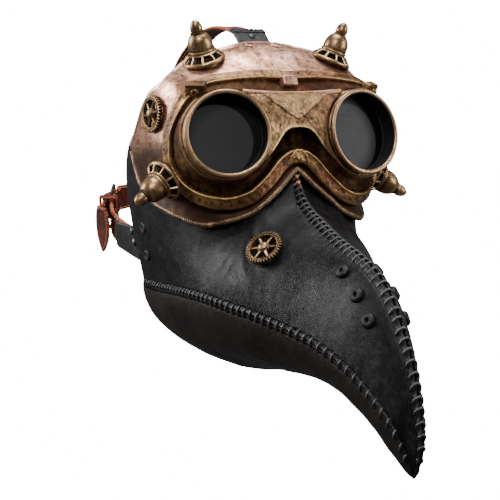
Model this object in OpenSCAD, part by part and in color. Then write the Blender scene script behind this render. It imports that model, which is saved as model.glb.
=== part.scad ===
// Beaked costume mask: moulded half mask, riveted goggles, laced leather beak, head straps.
// Axes: +X wearer's left, -Y forward, +Z up; origin at the head centre, level with the lenses.

/* [Part] */
// sub-part to draw, or all of them

/* [Shell thicknesses] */
// leather thickness of the face panels and throat, in mm
leather_t = 2.8; // [2.4:0.1:3.2]
// thickness of the moulded visor, in mm
visor_t = 3.2; // [2.8:0.1:3.6]
// thickness of the goggle frame sheets, in mm
frame_t = 2.6; // [2.2:0.1:3]

/* [Goggles] */
// distance of each lens centre from the middle of the nose, in mm
eye_x = 53.3; // [52.8:0.1:53.8]
// forward position of the eyecup rims, in mm
eye_y = 116; // [115:0.5:117]
// outward splay of the eyecups, in degrees
eye_splay = 11.5; // [11:0.25:12]
// upward pitch of the eyecups, in degrees
eye_pitch = 11; // [10.5:0.25:11.5]
// outer radius of the rolled eyecup rim, in mm
cup_rim_r = 30.5; // [30:0.1:31]
// bore radius of the eyecups, in mm
cup_bore_r = 27.5; // [27:0.1:27.6]
// depth of the lens face behind the rim, in mm
lens_depth = 14; // [13:0.5:15]
// lens thickness, in mm
lens_t = 2.5; // [2:0.1:3]
// radius of the raised lip round the goggle frame, in mm
lip_r = 3.4; // [3:0.1:3.6]

/* [Ornaments] */
// length of each spike from flange to point, in mm
spike_len = 30.5; // [29.5:0.5:32]
// radius of the spike flanges, in mm
spike_flange_r = 15.3; // [14.8:0.1:15.6]
// outer radius of the gears, in mm
gear_r = 13.2; // [12.5:0.1:13.5]
// thickness of the gears, in mm
gear_t = 3.2; // [2.8:0.1:3.4]
// radius of the beak rivet heads, in mm
rivet_r = 5; // [4.5:0.1:5.2]
// radius of the lacing cord, in mm
cord_r = 0.95; // [0.8:0.05:1]

/* [Straps] */
// width of the head straps, in mm
strap_w = 20; // [19:0.5:20]
// thickness of the head straps, in mm
strap_t = 2.2; // [2:0.1:2.3]
// wire radius of the buckle frame, in mm
wire_r = 1.2; // [1.1:0.05:1.25]

/* [Hidden] */

leather = [0.13, 0.12, 0.13];
throat_colour = [0.12, 0.09, 0.08];
copper = [0.62, 0.47, 0.42];
bronze = [0.42, 0.33, 0.22];
gold = [0.55, 0.45, 0.30];
glass = [0.18, 0.18, 0.18];
tan_strap = [0.50, 0.20, 0.12];
black = [0.08, 0.08, 0.08];

gap = 0.15;
form_low = -75;
form_step = 15;
bead_r = 2.3;
tuck_h = 18;
seam_x = 0.15;

// head form rows going up: half width, forward reach, squareness
FORM = [[72, 100, 3.0], [75.3, 104.2, 3.0], [77.3, 105, 3.25], [79, 105, 3.6], [79.7, 104.6, 3.8],
  [80, 104, 3.8], [79.6, 101.5, 3.8], [78.3, 95, 3.7], [73.5, 79, 3.1], [61, 57, 2.4],
  [10, 2, 2.2], [10, 2, 2.2]];
// visor lower edge, rear to nose: angle from the nose, height
BEAD = [[79, -15], [72.4, -32], [66.2, -43], [58, -50], [49, -55], [42, -59], [36.5, -62], [31, -62.5],
  [24.4, -59.5], [17.9, -55], [13, -48], [6.5, -37], [2, -28], [0, -25]];
// visor upper edge, rear to crown: angle, height
RIM = [[79, -9], [74, 1], [70.5, 9], [66.5, 18.5], [60.5, 28], [54.5, 33.8], [49.5, 42.4], [45.5, 50],
    [38.5, 54.8],
  [28, 58.6], [18.7, 61.5], [9, 63.1], [0, 63.5]];
// goggle outline round one eye: angle, height
LOOP = [[46.5, -10], [46.3, -20], [43.2, -33], [37.4, -43], [31, -48], [23.7, -49], [17.3, -45],
  [13.3, -39], [9.2, -31], [5.7, -23], [2.5, -18.5], [0.1, -17], [0.1, -5], [0.1, 10], [0.1, 25],
  [0.1, 37], [8, 39], [16.7, 38.8], [26, 37.2], [34, 34], [39.5, 26], [43.5, 13], [46, 1]];
// panel edge tucked under the visor: angle, height
TUCK = [[80, 0], [66, -24], [50, -37], [32, -44], [15, -36]];
// beak ridge from nose to tip: y, z
RIDGE = [[-106, -22], [-122, -46.5], [-147, -59.7], [-173, -70], [-197, -77.3], [-220, -85.7],
  [-238.5, -98.5], [-252.5, -116.5], [-265.5, -137.5], [-275, -165], [-278, -186], [-271.5, -206]];
// jaw seam from below the ear to the tip: x, y, z
JAW = [[-72, -8, -112], [-71, -32, -113], [-69, -60, -112.7], [-66.5, -86, -113],
  [-62.5, -107, -114.5], [-57, -126, -117.5], [-52, -141, -119.5], [-45, -160, -123.3],
  [-37, -183, -128.5], [-30, -205, -135.5], [-24, -226, -145.5], [-18.5, -241.7, -157.5],
  [-14, -254.5, -169.5], [-9.5, -263.5, -182.5], [-6, -267, -194], [-3, -269.5, -202.5],
  [-0.8, -270, -207.5]];
// underside of the beak in the middle plane, throat to tip: y, z
KEEL = [[-77, -171.5], [-84, -170.5], [-92, -168], [-102, -166.4], [-114, -165.8], [-128, -165],
  [-142, -164.2], [-160, -163.8], [-182, -165], [-203, -170], [-222, -178.3], [-236, -187],
  [-247, -196], [-256, -202], [-262, -206], [-266.5, -208], [-269.8, -208.5]];
// pull of the panel surface at its upper edge and at the jaw, cheek columns only
PULL_TOP = [[-1, 44, -23], [1, 8, -24], [1, 2, -24], [-1, -1, -24], [-9, 1, -22], [-20, 1, -22],
  [-24, 0, -15], [-23, -3, -7]];
PULL_JAW = [[-5, 2, 32], [-5, 2, 36], [-3, 0, 34], [-1, 2, 34], [-1, 0, 38], [-3, -2, 44],
  [-3, 0, 42], [-2, 6, 36]];
cheek_n = len(PULL_TOP);
// side strap line from the tab round to the nape
SIDE = [[-69.9, 2, -83.6], [-71.5, 26, -80.6], [-74, 44, -74], [-70.5, 58, -67], [-65.5, 70, -62],
  [-57, 82, -58], [-42, 93, -55.5], [-22, 99.5, -54], [0, 101.5, -53.5]];

function sum(v, i = 0, a = 0) = i < len(v) ? sum(v, i + 1, a + v[i]) : a;
function unit(v) = v / norm(v);
function lerp(a, b, t) = a * (1 - t) + b * t;
function flat(m) = [for (r = m) for (p = r) p];
function rev(v) = [for (i = [len(v) - 1 : -1 : 0]) v[i]];
function mirx(p) = [-p[0], p[1], p[2]];
function cubic(a, b, c, d, u) =
  0.5 * (2 * b + (c - a) * u + (2 * a - 5 * b + 4 * c - d) * u * u + (3 * b - a - 3 * c + d) * u * u * u);
function cr_at(P, x, n, i) = cubic(P[max(i - 1, 0)], P[i], P[i + 1], P[min(i + 2, n)], x - i);
function cr(P, t) = let (n = len(P) - 1, x = min(max(t, 0), 1) * n) cr_at(P, x, n, min(floor(x), n - 1));
function crc(P, t) = let (n = len(P), x = t * n, i = floor(x))
  cubic(P[(i + n - 1) % n], P[i % n], P[(i + 1) % n], P[(i + 2) % n], x - i);
function bez(p, a, b, q,
    v) = let (w = 1 - v) w * w * w * p + 3 * w * w * v * a + 3 * w * v * v * b + v * v * v * q;

// head form point at an angle from the nose (negative on the wearer's right), a height and an offset
function form(z) = cr(FORM, (z - form_low) / (form_step * (len(FORM) - 1)));
function head(phi, z, off) = let (f = form(z), s = sin(phi), c = cos(phi),
  r = 1 / pow(pow(abs(s) / (f[0] + off), f[2]) + pow(abs(c) / (f[1] + off), f[2]), 1 / f[2])) [r * s,
      -r * c, z];
function head_n(phi, z) = unit(cross(head(phi + 0.5, z, 0) - head(phi - 0.5, z, 0),
    head(phi, z + 0.5, 0) - head(phi, z - 0.5, 0)));

// visor offsets: the skirt flares to clear the leather below it
function flare(p) = p < 12 ? 9.4 - (12 - p) * 0.3 : 1.3 + 8.1 * pow(max(78 - p, 0) / 66, 1.3);
function visor_in(phi, z) = let (p = min(abs(phi), 79), d = z - lookup(p, BEAD),
    k = min(1, max(0, 1 - d / tuck_h)))
  1.2 + (flare(p) - 1.2) * k * k;
function visor_out(phi, z) = visor_in(phi, z) + visor_t;

// face panel and throat surfaces: s runs rear to tip, v runs top to jaw
UP = concat([for (q = TUCK) head(-q[0], q[1], 0)], [for (q = RIDGE) [-seam_x, q[0], q[1]]]);
CTL_A = [for (k = [0 : len(UP) - 1]) let (d = JAW[k] - UP[k])
  k < cheek_n ? UP[k] + PULL_TOP[k] : UP[k] + [0.52 * d[0], 0.06 * d[1], 0.06 * d[2]]];
CTL_B = [for (k = [0 : len(UP) - 1]) let (d = JAW[k] - UP[k])
  k < cheek_n ? JAW[k] + PULL_JAW[k] : JAW[k] - [0.04 * d[0], 0.52 * d[1], 0.52 * d[2]]];
function panel(s, v) = bez(cr(UP, s), cr(CTL_A, s), cr(CTL_B, s), cr(JAW, s), v);
KEEL3 = [for (q = KEEL) [0, q[0], q[1]]];
function gore(s, v) = let (j = cr(JAW, s), m = cr(KEEL3, s), k = pow(max(0, 1 - 5 * s), 2))
  bez(j, j + [0, 0.5 * (m[1] - j[1]) * (1 - k) + 10 * k, 0.55 * (m[2] - j[2])],
      m + [0.55 * j[0], 12 * k, 0], m, v);
function panel_n(s, v) = let (a = panel(min(s + 0.004, 1), v) - panel(max(s - 0.004, 0), v),
  b = panel(s, min(v + 0.01, 1)) - panel(s, max(v - 0.01, 0))) unit(cross(a, b));
function gore_n(s, v) = let (a = gore(min(s + 0.004, 1), v) - gore(max(s - 0.004, 0), v),
  b = gore(s, min(v + 0.01, 1)) - gore(s, max(v - 0.01, 0))) unit(cross(a, b));
function thin(s) = leather_t * (s < 0.72 ? 1 : max(0.12, 1 - (s - 0.72) / 0.28));

// faces of closed sheets and tubes, turned so that they face outward
function vol(P, F) = sum([for (f = F) P[f[0]] * cross(P[f[1]], P[f[2]])]);
function outward(P, F) = vol(P, F) > 0 ? [for (f = F) [f[0], f[2], f[1]]] : F;
function sheet_faces(m, n, wrap) = let (mm = wrap ? m : m - 1, h = m * n) concat(
  [for (i = [0 : mm - 1]) for (j = [0 : n - 2]) let (a = i * n + j, b = ((i + 1) % m) * n + j)
    each [[a, b, b + 1], [a, b + 1, a + 1], [h + a, h + b + 1, h + b], [h + a, h + a + 1, h + b + 1]]],
  [for (i = [0 : mm - 1]) let (a = i * n, b = ((i + 1) % m) * n, c = a + n - 1, d = b + n - 1)
    each [[b, a, h + a], [b, h + a, h + b], [c, d, h + d], [c, h + d, h + c]]],
  wrap ? [] : [for (j = [0 : n - 2]) let (a = j, b = (m - 1) * n + j)
    each [[a, a + 1, h + a + 1], [a, h + a + 1, h + a], [b + 1, b, h + b], [b + 1, h + b, h + b + 1]]]);
function tube_faces(m, n, wrap) = let (mm = wrap ? m : m - 1) concat(
  [for (i = [0 : mm - 1]) for (j = [0 : n - 1]) let (a = i * n + j, b = ((i + 1) % m) * n + j,
    c = ((i + 1) % m) * n + (j + 1) % n, d = i * n + (j + 1) % n) each [[a, b, c], [a, c, d]]],
  wrap ? [] : [for (j = [1 : n - 2]) each [[0, j, j + 1], [(m - 1) * n, (m - 1) * n + j + 1,
      (m - 1) * n + j]]]);
module sheet(outer, inner, wrap = false) {
  P = concat(flat(outer), flat(inner));
  polyhedron(points = P, faces = outward(P, sheet_faces(len(outer), len(outer[0]), wrap)));
}
module rings(R, wrap = false) {
  P = flat(R);
  polyhedron(points = P, faces = outward(P, tube_faces(len(R), len(R[0]), wrap)));
}
function tangent(P, i, wrap) = let (n = len(P)) unit(wrap ? P[(i + 1) % n] - P[(i + n - 1) % n]
    : P[min(i + 1, n - 1)] - P[max(i - 1, 0)]);
// round cord along a path, with an outward direction at each point
function cord(P, N, r, k, wrap) = [for (i = [0 : len(P) - 1]) let (t = tangent(P, i, wrap),
    u = unit(N[i] - (N[i] * t) * t), b = cross(t, u))
  [for (j = [0 : k - 1]) P[i] + r * (cos(360 * j / k) * u + sin(360 * j / k) * b)]];
// flat strap along a path, with one width direction or one for each point
function band(P, W, w, t) = [for (i = [0 : len(P) - 1]) let (a = tangent(P, i, false),
    wd = is_list(W[0]) ? W[i] : W,
  ww = unit(wd - (wd * a) * a), n = cross(a, ww), hw = (is_list(w) ? w[i] : w) / 2, ht = t / 2)
  [P[i] + hw * ww + ht * n, P[i] - hw * ww + ht * n, P[i] - hw * ww - ht * n, P[i] + hw * ww - ht * n]];
// place children at a point with +Z along a direction
module aim(p, v) {
  translate(p) rotate([0, acos(v[2] / norm(v)), atan2(v[1], v[0])]) children();
}
module both() {
  children();
  mirror([1, 0, 0]) children();
}

panel_cols = 46;
panel_rows = 9;
panel_v1 = 0.99;
module face_panel_right() {
  color(leather) sheet(
    [for (i = [0 : panel_cols]) [for (j = [0 : panel_rows]) let (p = panel(i / panel_cols,
        panel_v1 * j / panel_rows)) [min(p[0], -seam_x), p[1], p[2]]]],
    [for (i = [0 : panel_cols]) [for (j = [0 : panel_rows]) let (s = i / panel_cols,
        v = panel_v1 * j / panel_rows,
      p = panel(s, v) - thin(s) * panel_sign * panel_n(s, v)) [min(p[0], -seam_x), p[1], p[2]]]]);
}
panel_sign = panel_n(0.1, 0.5)[0] < 0 ? 1 : -1;
gore_sign = gore_n(0.4, 0.8)[2] < 0 ? 1 : -1;
module face_panel_left() {
  mirror([1, 0, 0]) face_panel_right();
}
gore_cols = 40;
gore_rows = 8;
gore_v0 = 0.018;
function gore_pt(i, j) = let (v = gore_v0 + (1 - gore_v0) * abs(j) / gore_rows,
    p = gore(i / gore_cols, v)) j > 0 ? mirx(p) : p;
function gore_in(i, j) = let (s = i / gore_cols, v = gore_v0 + (1 - gore_v0) * abs(j) / gore_rows,
  p = gore(s, v) - thin(s) * gore_sign * gore_n(s, v)) j > 0 ? mirx(p) : p;
module throat_gore() {
  color(throat_colour) sheet(
    [for (i = [0 : gore_cols]) concat([for (j = [0 : gore_rows]) gore_pt(i, -j)],
        [for (j = [gore_rows - 1 : -1 : 0]) mirx(gore_pt(i, -j))])],
    [for (i = [0 : gore_cols]) concat([for (j = [0 : gore_rows]) gore_in(i, -j)],
        [for (j = [gore_rows - 1 : -1 : 0]) mirx(gore_in(i, -j))])]);
}

visor_cols = 26;
visor_rows = 14;
function row_v(j) = 1 - pow(1 - j / visor_rows, 1.3);
function visor_pt(t, v, outer) = let (b = cr(BEAD, t), r = cr(RIM, t), phi = lerp(b[0], r[0], v),
    z = lerp(b[1], r[1], v))
  head(-phi, z, outer ? visor_out(phi, z) : visor_in(phi, z));
function visor_grid(outer) = concat(
  [for (i = [0 : visor_cols]) [for (j = [0 : visor_rows]) visor_pt(i / visor_cols, row_v(j), outer)]],
  [for (i = [visor_cols - 1 : -1 : 0]) [for (j = [0 : visor_rows]) mirx(visor_pt(i / visor_cols,
      row_v(j), outer))]]);
eye_c = [-eye_x, -eye_y, 0];
eye_n = [-sin(eye_splay) * cos(eye_pitch), -cos(eye_splay) * cos(eye_pitch), sin(eye_pitch)];
cup_r = cup_rim_r - 1.2;
module eye_bore(r) {
  aim(eye_c, -eye_n) cylinder(r = r, h = 80, $fn = 96);
}
module visor_shell() {
  color(copper) difference() {
    sheet(visor_grid(true), visor_grid(false));
    both() eye_bore(cup_r + 0.5);
  }
}
bead_n = 30;
module visor_edge_bead() {
  P = [for (i = [0 : bead_n]) let (q = cr(BEAD, i / bead_n)) head(-q[0], q[1] - 0.6,
      visor_out(q[0], q[1]) - 0.8)];
  N = [for (i = [0 : bead_n]) let (q = cr(BEAD, i / bead_n)) head_n(-q[0], q[1])];
  PP = concat(P, [for (i = [bead_n - 1 : -1 : 0]) mirx(P[i])]);
  NN = concat(N, [for (i = [bead_n - 1 : -1 : 0]) mirx(N[i])]);
  color(gold) rings(cord(PP, NN, bead_r, 6, false));
}

frame_n = 46;
frame_rings = 4;
frame_bulge = 2;
cup_seat = 10;
edge_gap = 0.4;
function loop_at(t) = let (q = crc(LOOP, t)) [max(q[0], 0.1), q[1]];
function edge_pt(t, off) = let (q = loop_at(t)) head(-q[0], q[1], visor_out(q[0], q[1]) + off);
eye_u = unit(cross([0, 0, 1], eye_n));
eye_v = cross(eye_n, eye_u);
function cup_pt(t, deep, r) = let (d = edge_pt(t, 0) - eye_c, a = atan2(d * eye_v, d * eye_u))
  eye_c - deep * eye_n + r * (cos(a) * eye_u + sin(a) * eye_v);
function frame_pt(t, r, up) = lerp(cup_pt(t, cup_seat - up, cup_r + 0.2), edge_pt(t, edge_gap + up), r)
  + frame_bulge * 4 * r * (1 - r) * eye_n;
module goggle_frame_right() {
  color(bronze) sheet(
    [for (i = [0 : frame_n - 1]) [for (j = [0 : frame_rings]) frame_pt(i / frame_n, j / frame_rings,
        frame_t)]],
    [for (i = [0 : frame_n - 1]) [for (j = [0 : frame_rings]) frame_pt(i / frame_n, j / frame_rings,
        0)]], true);
}
module goggle_frame_left() {
  mirror([1, 0, 0]) goggle_frame_right();
}
lip_a = 11 / 23;
lip_b = 15.4 / 23;
lip_n = 30;
// lip path: from the nose round the outer side of one eye to the brow, then mirrored
function lip_t(i) = let (x = lip_a - i / lip_n * (1 - (lip_b - lip_a))) x < 0 ? x + 1 : x;
module goggle_lip() {
  P = [for (i = [1 : lip_n - 1]) let (p = edge_pt(lip_t(i), edge_gap + frame_t + 0.8)) [min(p[0], -1.5),
      p[1], p[2]]];
  N = [for (i = [1 : lip_n - 1]) let (q = loop_at(lip_t(i))) head_n(-q[0], q[1])];
  color(bronze) rings(cord(concat(P, [for (p = rev(P)) mirx(p)]), concat(N, [for (p = rev(N)) mirx(p)]),
      lip_r, 8, true), true);
}
plate_cols = 10;
plate_rows = 5;
plate_top = 26;
plate_t = 2.6;
function plate_pt(u, v, off) = let (zb = 3.5 - 23 * pow(abs(u), 3), z = lerp(zb, plate_top, v),
  xm = eye_x - 1.6 - sqrt(max(cup_rim_r * cup_rim_r - z * z, 0)) - 1, x = u * max(xm, 4), f = form(z),
      o = 9.6 + off)
  [x, -(f[1] + o) * pow(1 - pow(abs(x) / (f[0] + o), f[2]), 1 / f[2]), z];
module bridge_plate() {
  color(gold) sheet(
    [for (i = [-plate_cols : plate_cols]) [for (j = [0 : plate_rows]) plate_pt(i / plate_cols,
        j / plate_rows, plate_t)]],
    [for (i = [-plate_cols : plate_cols]) [for (j = [0 : plate_rows]) plate_pt(i / plate_cols,
        j / plate_rows, 0)]]);
}
brow_n = 12;
brow_x = 38;
brow_z = 25.6;
brow_sag = 1.8;
module brow_roll() {
  P = [for (i = [-brow_n : brow_n]) let (u = i / brow_n, x = brow_x * u, z = brow_z + brow_sag * u * u,
      f = form(z))
    [x, -(f[1] + 9.8) * pow(1 - pow(abs(x) / (f[0] + 9.8), f[2]), 1 / f[2]), z]];
  color(gold) rings(cord(P, [for (p = P) [0, -1, 0]], 2.2, 8, false));
}
module brow_block() {
  color(copper) translate([0, -99.5, 34]) rotate([-22, 0, 0]) cube([13, 9, 9], center = true);
}
clamp_c = [-67.6, -94.2, 28.6];
module frame_clamps() {
  color(copper) both() translate(clamp_c) rotate([0, 0, -36]) rotate([22, 0, 0]) union() {
    cube([15, 7, 11], center = true);
    translate([0, -3.4, 0]) rotate([90, 0, 0]) cylinder(r = 2.4, h = 2.4, $fn = 32);
  }
}

// eyecup: straight barrel with a rolled rim, an inner step for the lens and a rear collar
cup_len = 30;
module eyecup_right() {
  color(bronze) aim(eye_c, eye_n) difference() {
    union() {
      translate([0, 0, -cup_len]) cylinder(r = cup_r, h = cup_len - 1.4, $fn = 96);
      translate([0, 0, -1.6]) rotate_extrude($fn = 96) translate([cup_rim_r - 1.7, 0]) circle(r = 1.7,
          $fn = 24);
    }
    translate([0, 0, -lens_depth - lens_t - gap]) cylinder(r = cup_bore_r, h = 40, $fn = 96);
    translate([0, 0, -cup_len - 1]) cylinder(r = cup_bore_r - 2, h = 60, $fn = 96);
  }
}
module eyecup_left() {
  mirror([1, 0, 0]) eyecup_right();
}
module lens_right() {
  color(glass) aim(eye_c - (lens_depth + lens_t) * eye_n, eye_n) cylinder(r = cup_bore_r - gap,
      h = lens_t, $fn = 96);
}
module lens_left() {
  mirror([1, 0, 0]) lens_right();
}
module lens_retainer_right() {
  color(black) aim(eye_c - (lens_depth - gap) * eye_n, eye_n) difference() {
    cylinder(r = cup_bore_r - gap, h = 1.6, $fn = 96);
    translate([0, 0, -1]) cylinder(r = cup_bore_r - 1.3, h = 4, $fn = 96);
  }
}
module lens_retainer_left() {
  mirror([1, 0, 0]) lens_retainer_right();
}

// spikes: windowed flange, bullet body and pointed finial on one axis
up_base = [-49.5, -68.2, 48.3];
up_dir = [-9.85, -5.17, 27.94];
up_stub = 5;
low_base = [-82, -74.6, -32.6];
low_dir = [-0.827, -0.235, -0.511];
low_stub = 10;
flange_h = 7.4;
body_top = 21;
module flange(stub) {
  difference() {
    union() {
      cylinder(r = spike_flange_r, h = 2.6, $fn = 72);
      translate([0, 0, 2.6]) cylinder(r1 = spike_flange_r - 2.2, r2 = 9.4, h = flange_h - 2.6, $fn = 72);
      translate([0, 0, -stub]) cylinder(r = spike_flange_r - 5, h = stub + 0.2, $fn = 48);
    }
    for (a = [0 : 45 : 315]) rotate([0, 0, a]) translate([9.4, 0, 4.9]) rotate([0, 90,
        0]) cylinder(r = 1.7, h = 8, $fn = 24);
  }
}
module body() {
  translate([0, 0, flange_h + 0.1]) rotate_extrude($fn = 72)
    polygon([[0, 0], [8.8, 0], [9.2, 1.2], [8.7, 2.6], [9.1, 8.6], [8.4, 11], [6.6, 12.6], [5.7, 13.4],
        [0, 13.4]]);
}
module finial() {
  translate([0, 0, body_top]) rotate_extrude($fn = 72)
    polygon([[0, 0], [4.4, 0], [5, 1.6], [4.8, 4], [3.4, 6.6], [1.3, spike_len - body_top - 0.6],
        [0, spike_len - body_top]]);
}
module flange_upper_right() {
  color(bronze) aim(up_base, up_dir) flange(up_stub);
}
module flange_upper_left() {
  mirror([1, 0, 0]) flange_upper_right();
}
module flange_lower_right() {
  color(bronze) aim(low_base, low_dir) flange(low_stub);
}
module flange_lower_left() {
  mirror([1, 0, 0]) flange_lower_right();
}
module spike_upper_right() {
  color(bronze) aim(up_base, up_dir) body();
}
module spike_upper_left() {
  mirror([1, 0, 0]) spike_upper_right();
}
module spike_lower_right() {
  color(bronze) aim(low_base, low_dir) body();
}
module spike_lower_left() {
  mirror([1, 0, 0]) spike_lower_right();
}
module point_upper_right() {
  color(gold) aim(up_base, up_dir) finial();
}
module point_upper_left() {
  mirror([1, 0, 0]) point_upper_right();
}
module point_lower_right() {
  color(gold) aim(low_base, low_dir) finial();
}
module point_lower_left() {
  mirror([1, 0, 0]) point_lower_right();
}

// gears: toothed rim, six spokes and a hub, pinned through the middle
teeth = 32;
module gear() {
  linear_extrude(gear_t) difference() {
    polygon([for (i = [0 : 4 * teeth - 1]) let (r = (i % 4) < 2 ? gear_r
        : gear_r - 1.1) r * [cos(90 * i / teeth), sin(90 * i / teeth)]]);
    circle(r = 1.7, $fn = 32);
    for (k = [0 : 5]) polygon([for (q = [[4.2, 18], [9.4, 9], [9.9, 30], [9.4, 51],
        [4.2, 42]]) q[0] * [cos(q[1] + 60 * k), sin(q[1] + 60 * k)]]);
  }
}
temple_phi = 56;
temple_z = 12;
cheek_s = 0.397;
cheek_v = 0.533;
function lift(p, n, d) = p + d * n;
temple_n = head_n(-temple_phi, temple_z) * (head_n(-temple_phi, temple_z)[0] < 0 ? 1 : -1);
temple_p = head(-temple_phi, temple_z, visor_out(temple_phi, temple_z) + 0.4);
cheek_n3 = panel_n(cheek_s, cheek_v) * panel_sign;
cheek_p = panel(cheek_s, cheek_v) + 1.5 * cheek_n3;
module temple_gear_right() {
  color(bronze) aim(temple_p, temple_n) gear();
}
module temple_gear_left() {
  mirror([1, 0, 0]) temple_gear_right();
}
module cheek_gear_right() {
  color(bronze) aim(cheek_p, cheek_n3) gear();
}
module pin(h, head_r) {
  translate([0, 0, -h]) cylinder(r = 1.5, h = h + gear_t + 0.3, $fn = 32);
  translate([0, 0, gear_t + 0.15]) cylinder(r1 = head_r, r2 = head_r - 1.2, h = 1.5, $fn = 40);
}
module gear_pins() {
  color(gold) {
    both() aim(temple_p, temple_n) pin(3, 3.4);
    aim(cheek_p, cheek_n3) pin(3, 3.4);
  }
}

// rivets: shank through the leather, domed head outside
module rivet(p, n, r, shank) {
  aim(p, n) {
    translate([0, 0, -shank]) cylinder(r = r * 0.36, h = shank + 0.4, $fn = 32);
    translate([0, 0, 0.1]) rotate_extrude($fn = 48)
      polygon([[0, 0], [r, 0], [r, r * 0.16], [r * 0.8, r * 0.36], [r * 0.42, r * 0.44], [0, r * 0.3]]);
  }
}
BEAK_RIVETS = [[0.571, 0.303], [0.625, 0.408], [0.672, 0.496]];
module beak_rivets() {
  color(black) both() for (q = BEAK_RIVETS) rivet(panel(q[0], q[1]), panel_sign * panel_n(q[0], q[1]),
      rivet_r, 2.2);
}
TAB_RIVETS = [[0.045, 0.60], [0.045, 0.79]];
module tab_rivets() {
  color(black) both() for (q = TAB_RIVETS) rivet(panel(q[0], q[1]), panel_sign * panel_n(q[0], q[1]), 4, 5);
}
cap_phi = 9.6;
cap_z = 60;
module cap_rivets() {
  color(copper) both() rivet(head(-cap_phi, cap_z, visor_out(cap_phi, cap_z)), head_n(-cap_phi, cap_z),
      4, 5.4);
}

// whip lacing: one cord winding over each seam
lace_k = 6;
ridge_turns = 44;
jaw_turns = 54;
function lace(s0, s1, turns, r) = [for (i = [0 : turns * lace_k]) let (s = lerp(s0, s1,
    i / (turns * lace_k)), a = 360 * i / lace_k,
  p = cr(UP, s), t = cr(UP, s + 0.002) - cr(UP, s - 0.002), o = unit([0, t[2], -t[1]]))
  [0, p[1], p[2]] + r * (1 - 0.7 * max(0, (s - 0.85) / 0.15)) * (cos(a) * o * 0.62 + sin(a) * [1, 0, 0])];
function lace_o(s0, s1, turns) = [for (i = [0 : turns * lace_k]) let (s = lerp(s0, s1,
    i / (turns * lace_k)), a = 360 * i / lace_k,
  t = cr(UP, s + 0.002) - cr(UP, s - 0.002), o = unit([0, t[2], -t[1]])) cos(a) * o + sin(a) * [1, 0, 0]];
module ridge_lacing() {
  color(black) rings(cord(lace(0.336, 0.985, ridge_turns, 4.6), lace_o(0.336, 0.985, ridge_turns),
      cord_r, 4, false));
}
function jaw_out(s) = let (n = panel_sign * panel_n(s, 1)) n;
function jlace(turns) = [for (i = [0 : turns * lace_k]) let (s = lerp(0.012, 0.955,
    i / (turns * lace_k)), a = 360 * i / lace_k,
  p = cr(JAW, s), t = unit(cr(JAW, s + 0.002) - cr(JAW, s - 0.002)), o = jaw_out(s), w = cross(t, o),
      k = 1 - 0.75 * max(0, (s - 0.8) / 0.2))
  p - 1.2 * k * o + 4.4 * k * (cos(a) * o * 0.7 + sin(a) * w)];
function jlace_o(turns) = [for (i = [0 : turns * lace_k]) let (s = lerp(0.012, 0.955,
    i / (turns * lace_k)), a = 360 * i / lace_k,
  t = unit(cr(JAW, s + 0.002) - cr(JAW, s - 0.002)), o = jaw_out(s),
      w = cross(t, o)) cos(a) * o + sin(a) * w];
module jaw_lacing_right() {
  color(black) rings(cord(jlace(jaw_turns), jlace_o(jaw_turns), cord_r, 4, false));
}
module jaw_lacing_left() {
  mirror([1, 0, 0]) jaw_lacing_right();
}

// straps
tab_t = 2.4;
SIDE_TAB = [[-70, -26, -85], [-71, -12, -84.6], [-72.4, 3, -84], [-73.9, 19, -82], [-75.4, 34.5, -80]];
tab_front_w = 30;
tab_rear_w = 19;
module side_tab_right() {
  color(leather) rings(band([for (i = [0 : 12]) cr(SIDE_TAB, i / 12)], [-0.1, 0, 1],
    [for (i = [0 : 12]) lerp(tab_front_w, tab_rear_w, i / 12)], tab_t));
}
module side_tab_left() {
  mirror([1, 0, 0]) side_tab_right();
}
TOP_TAB = [[0, -62, 57], [0, -56, 59.3], [0, -50, 61.2], [0, -45, 63.2], [0, -41.5, 66.2],
    [0, -38, 68.6], [0, -33, 70.6]];
TAB_RIBS = [[-37.5, 70.1], [-33.8, 71.5]];
top_tab_w = 26;
rib_r = 1.2;
module top_tab() {
  color(leather) {
    rings(band([for (i = [0 : 18]) cr(TOP_TAB, i / 18)], [1, 0, 0], top_tab_w, 2.2));
    for (q = TAB_RIBS) translate([-top_tab_w / 2, q[0], q[1]]) rotate([0, 90, 0]) cylinder(r = rib_r,
        h = top_tab_w, $fn = 24);
  }
}
TOP_LINE = [[0, -40.2, 64.1], [0, -36.8, 66.4], [0, -32, 68.4], [0, -22, 71.2], [0, -5, 74],
    [0, 14, 74], [0, 34, 70.5],
  [0, 54, 62], [0, 78, 46], [0, 94, 22], [0, 101, -8], [0, 104.4, -35], [0, 104.4, -62]];
module top_strap() {
  color(tan_strap) rings(band([for (i = [0 : 30]) cr(TOP_LINE, i / 30)], [1, 0, 0], strap_w - 2, strap_t));
}
// buckle frame of reference: X runs back along the strap, Y outward, Z up
bk_s = 0.5;
bk_o = cr(SIDE, bk_s);
bk_t = unit(cr(SIDE, bk_s + 0.02) - cr(SIDE, bk_s - 0.02));
bk_az = atan2(bk_t[1], bk_t[0]);
bk_el = asin(bk_t[2]);
bk_n = [-sin(bk_az), cos(bk_az), 0];
bk_w = cross(bk_t, bk_n);
function loc(x, y) = bk_o + x * bk_t + y * bk_n;
module at_buckle() {
  translate(bk_o) rotate([0, -bk_el, bk_az]) children();
}
loop_r = 3.6;
module chape_strap() {
  color(tan_strap) difference() {
    union() {
      rings(band([for (i = [0 : 16]) cr(SIDE, 0.482 * i / 16)],
          [for (i = [0 : 16]) lerp([0, 0, 1], bk_w, i / 16)], strap_w, strap_t));
      at_buckle() translate([0, 0, -strap_w / 2]) cylinder(r = loop_r, h = strap_w, $fn = 48);
    }
    at_buckle() translate([0, 0, -strap_w]) cylinder(r = wire_r + 0.4, h = 2 * strap_w, $fn = 48);
    at_buckle() translate([-3.2, -6, -2.2]) cube([12, 12, 4.4]);
  }
}
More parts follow.
